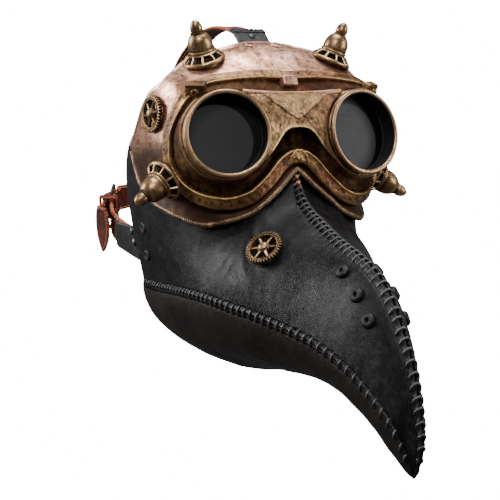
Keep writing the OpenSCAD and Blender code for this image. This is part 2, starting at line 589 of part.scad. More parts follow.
BILLET = [[-20.5, 6], [-17, 5], [-12, 4.7], [-5, 5.3], [1.5, 5.4], [4.5, 3.8], [8, 1.1], [11.5, -1.7],
    [15, -3.1], [19, -2.4]];
module back_strap() {
  P = concat([for (i = [0 : 22]) let (q = cr(BILLET, i / 22)) loc(q[0], q[1])],
    [for (i = [0 : 12]) cr(SIDE, bk_s + 0.19 + (1 - bk_s - 0.19) * i / 12)],
    [for (i = [1 : 26]) mirx(cr(SIDE, 1 - i / 26))]);
  W = concat([for (i = [0 : 22]) bk_w], [for (i = [0 : 12]) lerp(bk_w, [0, 0, 1], min(1, i / 6))],
      [for (i = [1 : 26]) [0, 0, 1]]);
  color(tan_strap) difference() {
    rings(band(P, W, strap_w, strap_t));
    at_buckle() translate([-3.5, -6, -1.8]) cube([17, 16, 3.6]);
  }
}
tail_w = 16;
tail_x = -26.3;
tail_y = 4.2;
tail_turn = 45;
tail_z = 9;
fold_r = 1.7;
module strap_tail() {
  color(tan_strap) at_buckle() translate([tail_x, tail_y, tail_z]) rotate([0, 0, tail_turn]) {
    translate([0, strap_t / 2, 0]) rotate([90, 0, 0]) linear_extrude(strap_t)
      polygon([[-5, 0], [5, 0], [7, -3], [8, -14], [6.5, -24], [3, -32], [0, -35.5], [-3, -32],
          [-6.5, -24], [-8, -14], [-7, -3]]);
    translate([-5, 0, 0]) rotate([0, 90, 0]) cylinder(r = fold_r, h = 10, $fn = 32);
  }
}
frame_in = 12.6;
frame_reach = 15;
module buckle_frame() {
  color(black) at_buckle() union() {
    translate([0, 0, -frame_in]) cylinder(r = wire_r, h = 2 * frame_in, $fn = 32);
    translate([frame_reach, 0, -frame_in]) cylinder(r = wire_r, h = 2 * frame_in, $fn = 32);
    for (z = [-frame_in, frame_in]) {
      translate([0, 0, z]) rotate([0, 90, 0]) cylinder(r = wire_r, h = frame_reach, $fn = 32);
      translate([0, 0, z]) sphere(r = wire_r, $fn = 32);
      translate([frame_reach, 0, z]) sphere(r = wire_r, $fn = 32);
    }
  }
}
prong_tilt = 9.9;
module buckle_prong() {
  color(bronze) at_buckle() difference() {
    union() {
      translate([0, 0, -1.3]) cylinder(r = wire_r + 1.35, h = 2.6, $fn = 40);
      rotate([0, 0, prong_tilt]) translate([1.4, 0, 0]) rotate([0, 90, 0]) cylinder(r = 0.95, h = 15.6,
          $fn = 32);
    }
    translate([0, 0, -3]) cylinder(r = wire_r + 0.35, h = 6, $fn = 40);
  }
}
keeper_x = -10.5;
module strap_keeper() {
  color(tan_strap) at_buckle() translate([keeper_x, 1.1, 0]) difference() {
    cube([6, 14.6, strap_w + 6], center = true);
    cube([8, 11.4, strap_w + 3.4], center = true);
  }
}
SIDE_RIVETS = [[-74.3, 8, -75.6], [-74, 4.5, -83.4]];
module strap_rivets() {
  color(bronze) {
    both() for (q = SIDE_RIVETS) rivet([q[0], q[1], q[2]], [-1, -0.08, 0], 2.8, 5);
    rivet([0, -42, 67.1], [0, -0.62, 0.78], 3.2, 4.6);
    for (z = [-49, -58]) rivet([0, 105.5, z], [0, 1, 0], 2.6, 4.8);
  }
}

face_panel_right();
face_panel_left();
throat_gore();
visor_shell();
visor_edge_bead();
goggle_frame_right();
goggle_frame_left();
goggle_lip();
bridge_plate();
brow_roll();
brow_block();
frame_clamps();
eyecup_right();
eyecup_left();
lens_right();
lens_left();
lens_retainer_right();
lens_retainer_left();
flange_upper_right();
flange_upper_left();
flange_lower_right();
flange_lower_left();
spike_upper_right();
spike_upper_left();
spike_lower_right();
spike_lower_left();
point_upper_right();
point_upper_left();
point_lower_right();
point_lower_left();
temple_gear_right();
temple_gear_left();
cheek_gear_right();
gear_pins();
beak_rivets();
tab_rivets();
cap_rivets();
strap_rivets();
ridge_lacing();
jaw_lacing_right();
jaw_lacing_left();
side_tab_right();
side_tab_left();
top_tab();
chape_strap();
back_strap();
top_strap();
strap_tail();
buckle_frame();
buckle_prong();
strap_keeper();
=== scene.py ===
import math
import bmesh
import bpy
import numpy as np
from mathutils import Matrix, Vector


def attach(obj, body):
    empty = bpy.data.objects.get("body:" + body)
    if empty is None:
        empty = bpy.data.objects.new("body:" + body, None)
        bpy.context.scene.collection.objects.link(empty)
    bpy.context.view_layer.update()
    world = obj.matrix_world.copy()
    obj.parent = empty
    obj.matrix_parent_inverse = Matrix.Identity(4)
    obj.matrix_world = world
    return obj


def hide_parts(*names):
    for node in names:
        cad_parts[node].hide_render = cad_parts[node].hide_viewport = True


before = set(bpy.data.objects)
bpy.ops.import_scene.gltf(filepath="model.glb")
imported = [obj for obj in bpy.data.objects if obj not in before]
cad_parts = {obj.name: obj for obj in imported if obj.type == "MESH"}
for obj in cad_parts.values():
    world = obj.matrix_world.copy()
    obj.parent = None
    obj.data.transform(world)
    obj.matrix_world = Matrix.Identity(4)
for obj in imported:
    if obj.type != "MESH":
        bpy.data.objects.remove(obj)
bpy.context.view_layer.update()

MM = 0.001

# ---------------------------------------------------------------- surfaces, in mm, as in the CAD source
FORM_LOW, FORM_STEP = -75.0, 15.0
FORM = np.array([(72, 100, 3.0), (75.3, 104.2, 3.0), (77.3, 105, 3.25), (79, 105, 3.6), (79.7, 104.6, 3.8),
    (80, 104, 3.8), (79.6, 101.5, 3.8), (78.3, 95, 3.7), (73.5, 79, 3.1), (61, 57, 2.4), (10, 2, 2.2),
    (10, 2, 2.2)])
BEAD = np.array([(79, -15), (72.4, -32), (66.2, -43), (58, -50), (49, -55), (42, -59), (36.5, -62),
    (31, -62.5),
    (24.4, -59.5), (17.9, -55), (13, -48), (6.5, -37), (2, -28), (0, -25)], float)
RIM = np.array([(79, -9), (74, 1), (70.5, 9), (66.5, 18.5), (60.5, 28), (54.5, 33.8), (49.5, 42.4),
    (45.5, 50), (38.5, 54.8),
    (28, 58.6), (18.7, 61.5), (9, 63.1), (0, 63.5)], float)
LOOP = np.array([(46.5, -10), (46.3, -20), (43.2, -33), (37.4, -43), (31, -48), (23.7, -49), (17.3, -45),
    (13.3, -39), (9.2, -31), (5.7, -23), (2.5, -18.5), (0.1, -17), (0.1, -5), (0.1, 10), (0.1, 25), (0.1, 37),
    (8, 39), (16.7, 38.8), (26, 37.2), (34, 34), (39.5, 26), (43.5, 13), (46, 1)], float)
TUCK = [(80, 0), (66, -24), (50, -37), (32, -44), (15, -36)]
RIDGE = [(-106, -22), (-122, -46.5), (-147, -59.7), (-173, -70), (-197, -77.3), (-220, -85.7),
    (-238.5, -98.5),
    (-252.5, -116.5), (-265.5, -137.5), (-275, -165), (-278, -186), (-271.5, -206)]
JAW = np.array([(-72, -8, -112), (-71, -32, -113), (-69, -60, -112.7), (-66.5, -86, -113),
    (-62.5, -107, -114.5),
    (-57, -126, -117.5), (-52, -141, -119.5), (-45, -160, -123.3), (-37, -183, -128.5), (-30, -205, -135.5),
    (-24, -226, -145.5), (-18.5, -241.7, -157.5), (-14, -254.5, -169.5), (-9.5, -263.5, -182.5),
    (-6, -267, -194),
    (-3, -269.5, -202.5), (-0.8, -270, -207.5)], float)
KEEL = np.array([(0, -77, -171.5), (0, -84, -170.5), (0, -92, -168), (0, -102, -166.4), (0, -114, -165.8),
    (0, -128, -165), (0, -142, -164.2), (0, -160, -163.8), (0, -182, -165), (0, -203, -170),
    (0, -222, -178.3),
    (0, -236, -187), (0, -247, -196), (0, -256, -202), (0, -262, -206), (0, -266.5, -208),
    (0, -269.8, -208.5)], float)
PULL_TOP = np.array([(-1, 44, -23), (1, 8, -24), (1, 2, -24), (-1, -1, -24), (-9, 1, -22), (-20, 1, -22),
    (-24, 0, -15), (-23, -3, -7)], float)
PULL_JAW = np.array([(-5, 2, 32), (-5, 2, 36), (-3, 0, 34), (-1, 2, 34), (-1, 0, 38), (-3, -2, 44),
    (-3, 0, 42),
    (-2, 6, 36)], float)
SIDE = np.array([(-69.9, 2, -83.6), (-71.5, 26, -80.6), (-74, 44, -74), (-70.5, 58, -67), (-65.5, 70, -62),
    (-57, 82, -58), (-42, 93, -55.5), (-22, 99.5, -54), (0, 101.5, -53.5)], float)
LEATHER_T, VISOR_T, FRAME_T = 2.8, 3.2, 2.6
STRAP_W, STRAP_T = 20, 2.2
MID_GAP, FRAME_GAP, PLATE_OFF = 0.05, 0.4, 9.6  # halves to the middle, frame to visor, plate to head form
# LENS_GLOW is painted light: a faint glow that keeps the lens an even grey.
LENS_GLOW, FLOOR_GLOW, WORLD_GLOW = 0.022, 16.0, 0.18
MIR = np.array([-1.0, 1.0, 1.0])


def cubic(a, b, c, d, u):
    u = u[..., None]
    return 0.5 * (2 * b + (c - a) * u + (2 * a - 5 * b + 4 * c - d) * u * u + (3 * b - a - 3 * c + d)
        * u ** 3)


def cr(P, t):
    n = len(P) - 1
    x = np.clip(np.asarray(t, float), 0, 1) * n
    i = np.minimum(x.astype(int), n - 1)
    return cubic(P[np.maximum(i - 1, 0)], P[i], P[i + 1], P[np.minimum(i + 2, n)], x - i)


def crc(P, t):
    n = len(P)
    x = (np.asarray(t, float) % 1.0) * n
    i = x.astype(int)
    return cubic(P[(i - 1) % n], P[i % n], P[(i + 1) % n], P[(i + 2) % n], x - i)


def form_at(z):
    return cr(FORM, (z - FORM_LOW) / (FORM_STEP * (len(FORM) - 1)))


def front_y(x, z, off):
    """Y of the front of the head form, grown by off."""
    f = form_at(z)
    return -(f[..., 1] + off) * np.maximum(1 - (np.abs(x) / (f[..., 0] + off)) ** f[..., 2],
        1e-4) ** (1 / f[..., 2])


def head(phi, z, off):
    phi, z, off = np.broadcast_arrays(np.asarray(phi, float), z, off)
    f = form_at(z)
    s, c = np.sin(np.radians(phi)), np.cos(np.radians(phi))
    r = ((np.abs(s) / (f[..., 0] + off)) ** f[..., 2] + (np.abs(c) / (f[..., 1] + off)) ** f[..., 2]) ** (-1
        / f[..., 2])
    return np.stack([r * s, -r * c, z], -1)


def flare(p):
    return np.where(p < 12, 9.4 - (12 - p) * 0.3, 1.3 + 8.1 * (np.maximum(78 - p, 0) / 66) ** 1.3)


def visor_in(phi, z):
    p = np.minimum(np.abs(phi), 79)
    d = z - np.interp(p, BEAD[::-1, 0], BEAD[::-1, 1])
    k = np.clip(1 - d / 18, 0, 1)
    return 1.2 + (flare(p) - 1.2) * k * k


def visor_out(phi, z):
    return visor_in(phi, z) + VISOR_T


UP = np.concatenate([np.array([head(-p, z, 0) for p, z in TUCK]),
    np.array([(-0.15, y, z) for y, z in RIDGE])])
D = JAW - UP
NC = len(PULL_TOP)
CA = UP + D * (0.52, 0.06, 0.06)
CB = JAW - D * (0.04, 0.52, 0.52)
CA[:NC] = UP[:NC] + PULL_TOP
CB[:NC] = JAW[:NC] + PULL_JAW


def bez(p, a, b, q, v):
    v = np.asarray(v, float)[..., None]
    w = 1 - v
    return w ** 3 * p + 3 * w * w * v * a + 3 * w * v * v * b + v ** 3 * q


def panel(s, v):
    s, v = np.broadcast_arrays(np.asarray(s, float), v)
    return bez(cr(UP, s), cr(CA, s), cr(CB, s), cr(JAW, s), v)


def gore(s, v):
    s, v = np.broadcast_arrays(np.asarray(s, float), v)
    j, m = cr(JAW, s), cr(KEEL, s)
    k = np.maximum(0, 1 - 5 * s) ** 2
    zero = np.zeros_like(k)
    a = j + np.stack([zero, 0.5 * (m[..., 1] - j[..., 1]) * (1 - k) + 10 * k, 0.55 * (m[..., 2] - j[..., 2])],
        -1)
    b = m + np.stack([0.55 * j[..., 0], 12 * k, zero], -1)
    return bez(j, a, b, m, v)


def thin(s):
    return LEATHER_T * np.where(s < 0.72, 1, np.maximum(0.12, 1 - (s - 0.72) / 0.28))


def along(P):
    """Length along a line of points, from its start to each point."""
    return np.concatenate([[0], np.cumsum(np.linalg.norm(np.diff(P, axis=0), axis=1))])


def unit(v):
    v = np.asarray(v, float)
    return v / np.maximum(np.linalg.norm(v, axis=-1, keepdims=True), 1e-12)


def surf_n(fn, s, v, hs=0.003, hv=0.01):
    a = fn(np.minimum(s + hs, 1), v) - fn(np.maximum(s - hs, 0), v)
    b = fn(s, np.minimum(v + hv, 1)) - fn(s, np.maximum(v - hv, 0))
    return unit(np.cross(a, b))


P_SIGN = 1.0 if surf_n(panel, np.array(0.1), np.array(0.5))[0] < 0 else -1.0
G_SIGN = 1.0 if surf_n(gore, np.array(0.4), np.array(0.8))[2] < 0 else -1.0


def panel_n(s, v):
    return P_SIGN * surf_n(panel, s, v)


def gore_n(s, v):
    return G_SIGN * surf_n(gore, s, v)


def head_n(phi, z):
    a = head(phi + 0.4, z, 0) - head(phi - 0.4, z, 0)
    b = head(phi, z + 0.4, 0) - head(phi, z - 0.4, 0)
    n = unit(np.cross(a, b))
    return n * np.sign((n * head(phi, z, 0) * (1, 1, 0)).sum(-1, keepdims=True))


# ---------------------------------------------------------------- seeded smooth noise on points
_rng = np.random.RandomState(11)
_lat = _rng.rand(32, 32, 32) * 2 - 1


def noise3(P, size, seed=0):
    q = np.asarray(P, float) / size + seed * 7.31 + 1000.0
    i = np.floor(q).astype(int)
    f = q - i
    f = f * f * (3 - 2 * f)
    i %= 32
    j = (i + 1) % 32
    x0, y0, z0, x1, y1, z1 = i[..., 0], i[..., 1], i[..., 2], j[..., 0], j[..., 1], j[..., 2]
    fx, fy, fz = f[..., 0], f[..., 1], f[..., 2]
    a = _lat[x0, y0, z0] * (1 - fx) + _lat[x1, y0, z0] * fx
    b = _lat[x0, y1, z0] * (1 - fx) + _lat[x1, y1, z0] * fx
    c = _lat[x0, y0, z1] * (1 - fx) + _lat[x1, y0, z1] * fx
    d = _lat[x0, y1, z1] * (1 - fx) + _lat[x1, y1, z1] * fx
    return (a * (1 - fy) + b * fy) * (1 - fz) + (c * (1 - fy) + d * fy) * fz


def fbm(P, size, seed=0, n=3):
    return sum(noise3(P, size / 2 ** k, seed + k) / 2 ** k for k in range(n)) / (2 - 2 ** (1 - n))


# ---------------------------------------------------------------- materials
class Mat:
    """A small wrapper that adds linked shader nodes."""

    def __init__(self, name):
        self.m = bpy.data.materials.new(name)
        self.m.use_nodes = True
        self.t = self.m.node_tree
        self.t.nodes.clear()
        self.out = self.t.nodes.new("ShaderNodeOutputMaterial")
        self.b = self.t.nodes.new("ShaderNodeBsdfPrincipled")
        self.t.links.new(self.b.outputs[0], self.out.inputs[0])
        self.co = self.t.nodes.new("ShaderNodeTexCoord").outputs["Object"]

    def link(self, a, b):
        self.t.links.new(a, b)

    def scaled(self, scale, rot=(0, 0, 0)):
        n = self.t.nodes.new("ShaderNodeMapping")
        n.inputs["Scale"].default_value = scale
        n.inputs["Rotation"].default_value = rot
        self.link(self.co, n.inputs["Vector"])
        return n.outputs[0]

    def noise(self, scale, detail=4, rough=0.55, co=None):
        n = self.t.nodes.new("ShaderNodeTexNoise")
        n.inputs["Scale"].default_value = scale
        n.inputs["Detail"].default_value = detail
        n.inputs["Roughness"].default_value = rough
        self.link(co or self.co, n.inputs["Vector"])
        return n.outputs["Fac"]

    def voro(self, scale, feature="DISTANCE_TO_EDGE"):
        n = self.t.nodes.new("ShaderNodeTexVoronoi")
        n.feature = feature
        n.inputs["Scale"].default_value = scale
        self.link(self.co, n.inputs["Vector"])
        return n.outputs["Distance"]

    def attr(self, name):
        n = self.t.nodes.new("ShaderNodeAttribute")
        n.attribute_name = name
        return n.outputs["Fac"]

    def ramp(self, fac, stops):
        n = self.t.nodes.new("ShaderNodeValToRGB")
        r = n.color_ramp
        while len(r.elements) > 1:
            r.elements.remove(r.elements[-1])
        for k, (p, c) in enumerate(stops):
            e = r.elements[0] if k == 0 else r.elements.new(p)
            e.position = p
            e.color = (*c, 1) if isinstance(c, tuple) else (c, c, c, 1)
        self.link(fac, n.inputs[0])
        return n.outputs[0]

    def mix(self, fac, a, b):
        n = self.t.nodes.new("ShaderNodeMix")
        n.data_type = "RGBA"
        for src, k in ((fac, 0), (a, 6), (b, 7)):
            if isinstance(src, (int, float)):
                n.inputs[k].default_value = src if k == 0 else (src, src, src, 1)
            elif isinstance(src, tuple):
                n.inputs[k].default_value = (*src, 1)
            else:
                self.link(src, n.inputs[k])
        return n.outputs[2]

    def math(self, op, a, b=0.0, clamp=False):
        n = self.t.nodes.new("ShaderNodeMath")
        n.operation = op
        n.use_clamp = clamp
        for src, k in ((a, 0), (b, 1)):
            if isinstance(src, (int, float)):
                n.inputs[k].default_value = src
            else:
                self.link(src, n.inputs[k])
        return n.outputs[0]

    def bump(self, height, strength, dist, prev=None):
        n = self.t.nodes.new("ShaderNodeBump")
        n.inputs["Strength"].default_value = strength
        n.inputs["Distance"].default_value = dist
        self.link(height, n.inputs["Height"])
        if prev:
            self.link(prev, n.inputs["Normal"])
        return n.outputs[0]

    def set(self, **kw):
        names = {"color": "Base Color", "rough": "Roughness", "metal": "Metallic", "normal": "Normal",
            "coat": "Coat Weight", "coat_rough": "Coat Roughness", "spec": "Specular IOR Level",
            "sheen": "Sheen Weight", "sheen_rough": "Sheen Roughness"}
        for k, v in kw.items():
            s = self.b.inputs[names[k]]
            if isinstance(v, (int, float)):
                s.default_value = v
            elif isinstance(v, tuple):
                s.default_value = (*v, 1)
            else:
                self.link(v, s)
        return self.m


def leather_mat(name, dark, mid, worn, rough=(0.40, 0.62), grain=1.0, edge=True, spec=0.3):
    m = Mat(name)
    blotch = m.noise(28, 5, 0.6)
    fine = m.noise(160, 6, 0.65)
    base = m.mix(m.ramp(blotch, [(0.36, 0.0), (0.66, 1.0)]), dark, mid)
    base = m.mix(m.math("MULTIPLY", m.ramp(fine, [(0.52, 0.0), (0.78, 1.0)]), 0.45), base, worn)
    scr = m.noise(60, 3, 0.7, m.scaled((1, 9, 2), (0.5, 0.3, 0.9)))
    scratch = m.ramp(scr, [(0.655, 0.0), (0.675, 1.0), (0.69, 0.0)])
    base = m.mix(m.math("MULTIPLY", scratch, 0.22), base, worn)
    if edge:
        base = m.mix(m.math("MULTIPLY", m.attr("wear"), 0.75), base, worn)
        # The dark attribute darkens the leather: this is painted shade in seam grooves and creases.
        base = m.mix(m.math("MULTIPLY", m.attr("dark"), 0.8), base, (dark[0] * 0.4, dark[1] * 0.4,
            dark[2] * 0.4))
    cells = m.voro(850)
    grainy = m.math("ADD", m.ramp(cells, [(0.0, 0.0), (0.14, 1.0)]), m.math("MULTIPLY", m.noise(1500, 3, 0.6),
        0.6))
    nrm = m.bump(grainy, 0.28 * grain, 0.0003)
    nrm = m.bump(m.noise(75, 5, 0.6), 0.22, 0.0010, nrm)
    r = m.ramp(m.noise(90, 5, 0.6), [(0.3, rough[0]), (0.7, rough[1])])
    return m.set(color=base, rough=r, normal=nrm, spec=spec)


def metal_mat(name, low, mid, high, rough=(0.32, 0.55), metal=0.75, stipple=(900, 0.5), streak=0.0, blot=45,
        dark_paint_and_shade=False, alt=None):
    m = Mat(name)
    patch = m.noise(blot, 6, 0.65)
    col = m.ramp(patch, [(0.28, low), (0.5, mid), (0.74, high)])
    if alt:
        red = m.ramp(m.noise(26, 4, 0.6), [(0.42, 0.0), (0.62, 1.0)])
        col = m.mix(m.math("MULTIPLY", red, 0.8), col, m.mix(m.ramp(patch, [(0.3, 0.0), (0.75, 1.0)]), low,
            alt))
    fine = m.noise(stipple[0] * 0.45, 5, 0.7)
    col = m.mix(m.math("MULTIPLY", m.ramp(fine, [(0.38, 1.0), (0.54, 0.0)]), 0.85), col, low)
    if streak:
        st = m.noise(70, 4, 0.6, m.scaled((1.0, 1.0, 7.0)))
        col = m.mix(m.math("MULTIPLY", m.ramp(st, [(0.5, 0.0), (0.7, 1.0)]), streak), col, high)
    # This attribute darkens the colour towards a deep brown. Part of it is the shell's own dark paint low
    # down, and part is painted shade under the goggle lip.
    if dark_paint_and_shade:
        shade = m.mix(m.ramp(patch, [(0.35, 0.0), (0.7, 1.0)]), (0.0070, 0.0036, 0.0023),
            (0.027, 0.0130, 0.0070))
        col = m.mix(m.attr("dark_paint_and_shade"), col, shade)
    col = m.mix(m.math("MULTIPLY", m.attr("wear"), 0.8), col, high)
    # The dark attribute is painted shade. In recesses, in grooves, under parts and at their feet the colour
    # goes towards a deep copy of the low colour.
    col = m.mix(m.math("MULTIPLY", m.attr("dark"), 0.92), col, (low[0] * 0.35, low[1] * 0.32, low[2] * 0.3))
    h = m.math("ADD", m.noise(stipple[0], 4, 0.65), m.math("MULTIPLY", m.voro(stipple[0] * 0.5, "F1"), 0.7))
    nrm = m.bump(h, stipple[1], 0.0004)
    nrm = m.bump(m.noise(120, 4, 0.6), 0.25, 0.0008, nrm)
    # In that painted shade the surface is also made rougher and its specular weaker, so lamp reflections fade
    # there.
    painted_shade = m.attr("dark")
    r = m.math("MULTIPLY_ADD", painted_shade, 0.4, True)
    m.link(m.ramp(m.noise(140, 5, 0.6), [(0.3, rough[0]), (0.7, rough[1])]), r.node.inputs[2])
    spec = m.math("SUBTRACT", 0.5, m.math("MULTIPLY", painted_shade, 0.48))
    # Where that mark lies, metal and specular are lowered too, so lamp reflections fade in the painted shade.
    if dark_paint_and_shade:
        paint_and_shade_mask = m.attr("dark_paint_and_shade")
        metal = m.math("SUBTRACT", metal, m.math("MULTIPLY", paint_and_shade_mask, 0.6))
        spec = m.math("MULTIPLY", spec, m.math("SUBTRACT", 1.0, m.math("MULTIPLY", paint_and_shade_mask, 0.85)))
    return m.set(color=col, rough=r, metal=metal, normal=nrm, spec=spec)


M_LEATHER = leather_mat("black_leather", (0.0011, 0.0010, 0.0013), (0.0037, 0.0034, 0.0042),
    (0.026, 0.024, 0.028), (0.30, 0.44), spec=0.115)
M_THROAT = leather_mat("throat_leather", (0.0034, 0.0021, 0.0016), (0.0098, 0.0062, 0.0048),
    (0.030, 0.020, 0.016), (0.44, 0.62), spec=0.14)
M_TAB = leather_mat("tab_leather", (0.0026, 0.0025, 0.0028), (0.0070, 0.0068, 0.0074), (0.045, 0.043, 0.044),
    (0.36, 0.55), spec=0.18)
M_STRAP = leather_mat("strap_leather", (0.034, 0.0052, 0.0022), (0.088, 0.0145, 0.0060), (0.30, 0.070, 0.028),
    (0.40, 0.58), spec=0.2)
M_COPPER = metal_mat("copper_shell", (0.12, 0.043, 0.022), (0.48, 0.225, 0.135), (0.94, 0.65, 0.50),
    (0.22, 0.42), 0.78,
    (650, 0.16), 0.35, 32, True)
M_TRIM = metal_mat("copper_trim", (0.07, 0.026, 0.013), (0.30, 0.135, 0.080), (0.66, 0.40, 0.28), (0.28, 0.5),
    0.65, (800, 0.25))
M_FRAME = metal_mat("frame_bronze", (0.014, 0.006, 0.0025), (0.145, 0.070, 0.025), (0.50, 0.30, 0.12),
    (0.28, 0.50), 0.74, (620, 0.8),
    alt=(0.32, 0.098, 0.045))
M_GOLD = metal_mat("gold_bronze", (0.030, 0.014, 0.005), (0.29, 0.170, 0.070), (0.68, 0.45, 0.21),
    (0.30, 0.52), 0.72, (520, 1.0),
    alt=(0.42, 0.20, 0.11))
M_BEAD = metal_mat("bead_bronze", (0.012, 0.006, 0.003), (0.070, 0.038, 0.017), (0.36, 0.23, 0.115),
    (0.3, 0.5), 0.62, (1100, 0.5), 0, 110)
M_CUP = metal_mat("cup_bronze", (0.026, 0.012, 0.0065), (0.155, 0.084, 0.043), (0.46, 0.285, 0.155),
    (0.26, 0.46), 0.76, (900, 0.22))
M_BRASS = metal_mat("antique_brass", (0.017, 0.008, 0.0038), (0.125, 0.068, 0.031), (0.47, 0.30, 0.145),
    (0.24, 0.44), 0.80, (1300, 0.18))
M_ROLL = metal_mat("roll_copper", (0.07, 0.027, 0.013), (0.25, 0.112, 0.060), (0.50, 0.29, 0.18), (0.3, 0.5),
    0.6, (800, 0.3))
M_BLACKM = metal_mat("black_metal", (0.005, 0.005, 0.0055), (0.013, 0.013, 0.014), (0.06, 0.055, 0.06),
    (0.3, 0.5), 0.35, (1500, 0.15))


def cord_mat():
    m = Mat("lacing_cord")
    n = m.noise(420, 4, 0.6)
    col = m.mix(m.ramp(n, [(0.35, 0.0), (0.7, 1.0)]), (0.004, 0.004, 0.005), (0.022, 0.021, 0.023))
    tw = m.t.nodes.new("ShaderNodeTexWave")
    tw.inputs["Scale"].default_value = 330
    tw.inputs["Distortion"].default_value = 2.5
    tw.inputs["Detail"].default_value = 2
    m.link(m.co, tw.inputs["Vector"])
    nrm = m.bump(tw.outputs["Fac"], 0.4, 0.0004)
    return m.set(color=col, rough=m.ramp(n, [(0.3, 0.34), (0.7, 0.52)]), normal=nrm)


def lens_mat():
    m = Mat("dark_lens")
    n = m.noise(35, 3, 0.5)
    # The dark attribute is a painted shadow crescent: there the colour goes nearly black and the glow stops.
    rim = m.attr("dark")
    col = m.mix(rim, m.mix(n, (0.0060, 0.0060, 0.0062), (0.0072, 0.0072, 0.0075)), (0.0008, 0.0008, 0.0009))
    # Painted light: the lens glows faintly, so it reads as an even flat grey.
    m.link(m.mix(rim, m.mix(n, (0.80, 0.80, 0.82), (0.86, 0.86, 0.88)), (0.0, 0.0, 0.0)),
        m.b.inputs["Emission Color"])
    m.b.inputs["Emission Strength"].default_value = LENS_GLOW
    return m.set(color=col, rough=m.ramp(m.noise(260, 3), [(0.3, 0.42), (0.7, 0.5)]), spec=0.12)


def black_mat():
    m = Mat("cup_black")
    n = m.noise(240, 4)
    return m.set(color=m.mix(n, (0.002, 0.002, 0.0025), (0.006, 0.006, 0.007)),
        rough=m.ramp(n, [(0.3, 0.55), (0.7, 0.75)]), spec=0.25)


M_CORD, M_LENS, M_BLACK = cord_mat(), lens_mat(), black_mat()


# ---------------------------------------------------------------- mesh helpers
def add(name, V, F, mat, body, wear=None, dark=None, sharp=None, mats=None, index=None, dark_paint_and_shade=None,
        nodes=None):
    """A piece that rides on body; it replaces the CAD node of its own name unless nodes says otherwise."""
    nodes = (name,) if nodes is None else nodes
    me = bpy.data.meshes.new(name)
    me.from_pydata([tuple(p) for p in np.asarray(V, float) * MM], [], [tuple(int(i) for i in f) for f in F])
    for m in (mats or [mat]):
        me.materials.append(m)
    # The dark attribute carries painted shade. The optional third one carries dark paint together with
    # painted shade.
    for key, val in (("wear", wear), ("dark", dark)) + ((("dark_paint_and_shade", dark_paint_and_shade),) if dark_paint_and_shade is not None else ()):
        a = me.attributes.new(key, "FLOAT", "POINT")
        a.data.foreach_set("value", np.zeros(len(V)) if val is None
            else np.clip(np.asarray(val, float).ravel(), 0, 1))
    if index is not None:
        me.polygons.foreach_set("material_index", np.asarray(index, dtype=np.int32))
    me.validate()
    bm = bmesh.new()
    bm.from_mesh(me)
    bmesh.ops.recalc_face_normals(bm, faces=bm.faces)
    bm.to_mesh(me)
    bm.free()
    me.polygons.foreach_set("use_smooth", [True] * len(me.polygons))
    if sharp:
        me.set_sharp_from_angle(angle=math.radians(sharp))
    me.update()
    ob = bpy.data.objects.new(name, me)
    bpy.context.scene.collection.objects.link(ob)
    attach(ob, body)
    if nodes:
        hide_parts(*nodes)
    return ob


def grid_faces(m, n, base=0, wrap=False):
    mm = m if wrap else m - 1
    i, j = np.meshgrid(np.arange(mm), np.arange(n - 1), indexing="ij")
    a = base + i * n + j
    b = base + ((i + 1) % m) * n + j
    return np.stack([a, b, b + 1, a + 1], -1).reshape(-1, 4)


def sheet_geo(O, I, wrap=False):
    m, n = O.shape[:2]
    h = m * n
    F = [grid_faces(m, n, 0, wrap), grid_faces(m, n, h, wrap)[:, ::-1]]
    i = np.arange(m if wrap else m - 1)
    k = (i + 1) % m
    F.append(np.stack([k * n, i * n, h + i * n, h + k * n], -1))
    F.append(np.stack([i * n + n - 1, k * n + n - 1, h + k * n + n - 1, h + i * n + n - 1], -1))
    if not wrap:
        j = np.arange(n - 1)
        F.append(np.stack([j, j + 1, h + j + 1, h + j], -1))
        b = (m - 1) * n + j
        F.append(np.stack([b + 1, b, h + b, h + b + 1], -1))
    return np.concatenate([O.reshape(-1, 3), I.reshape(-1, 3)]), np.concatenate(F)


def ring_faces(n, k, wrap=False):
    """Quads between n rings of k points each; wrap joins the last ring to the first."""
    i, j = np.meshgrid(np.arange(n if wrap else n - 1), np.arange(k), indexing="ij")
    a, b, c = i * k, (i + 1) % n * k, (j + 1) % k
    return np.stack([a + j, b + j, b + c, a + c], -1).reshape(-1, 4)


def capped(n, k):
    """Faces of an open tube of n rings, with a face over each end."""
    return ring_faces(n, k).tolist() + [list(range(k))[::-1], [(n - 1) * k + j for j in range(k)]]


def along_axes(P, N, wrap=False):
    """Unit vectors along the line, outwards and across, at each point."""
    T = unit(np.roll(P, -1, 0) - np.roll(P, 1, 0)) if wrap else unit(np.gradient(P, axis=0))
    U = unit(N - (N * T).sum(-1, keepdims=True) * T)
    return U, np.cross(T, U)


def tube_geo(P, N, r, k=10, wrap=False, squash=1.0):
    P, N = np.asarray(P, float), np.asarray(N, float)
    n = len(P)
    U, B = along_axes(P, N, wrap)
    a = 2 * math.pi * np.arange(k) / k
    r = np.broadcast_to(np.asarray(r, float), (n,))
    R = P[:, None] + r[:, None, None] * (np.cos(a)[None, :, None] * U[:, None] * squash
        + np.sin(a)[None, :, None] * B[:, None])
    return R.reshape(-1, 3), ring_faces(n, k, True).tolist() if wrap else capped(n, k)


def join(parts):
    V, F, n = [], [], 0
    for v, f in parts:
        V.append(np.asarray(v, float))
        F += [[int(i) + n for i in q] for q in f]
        n += len(v)
    return np.concatenate(V), F


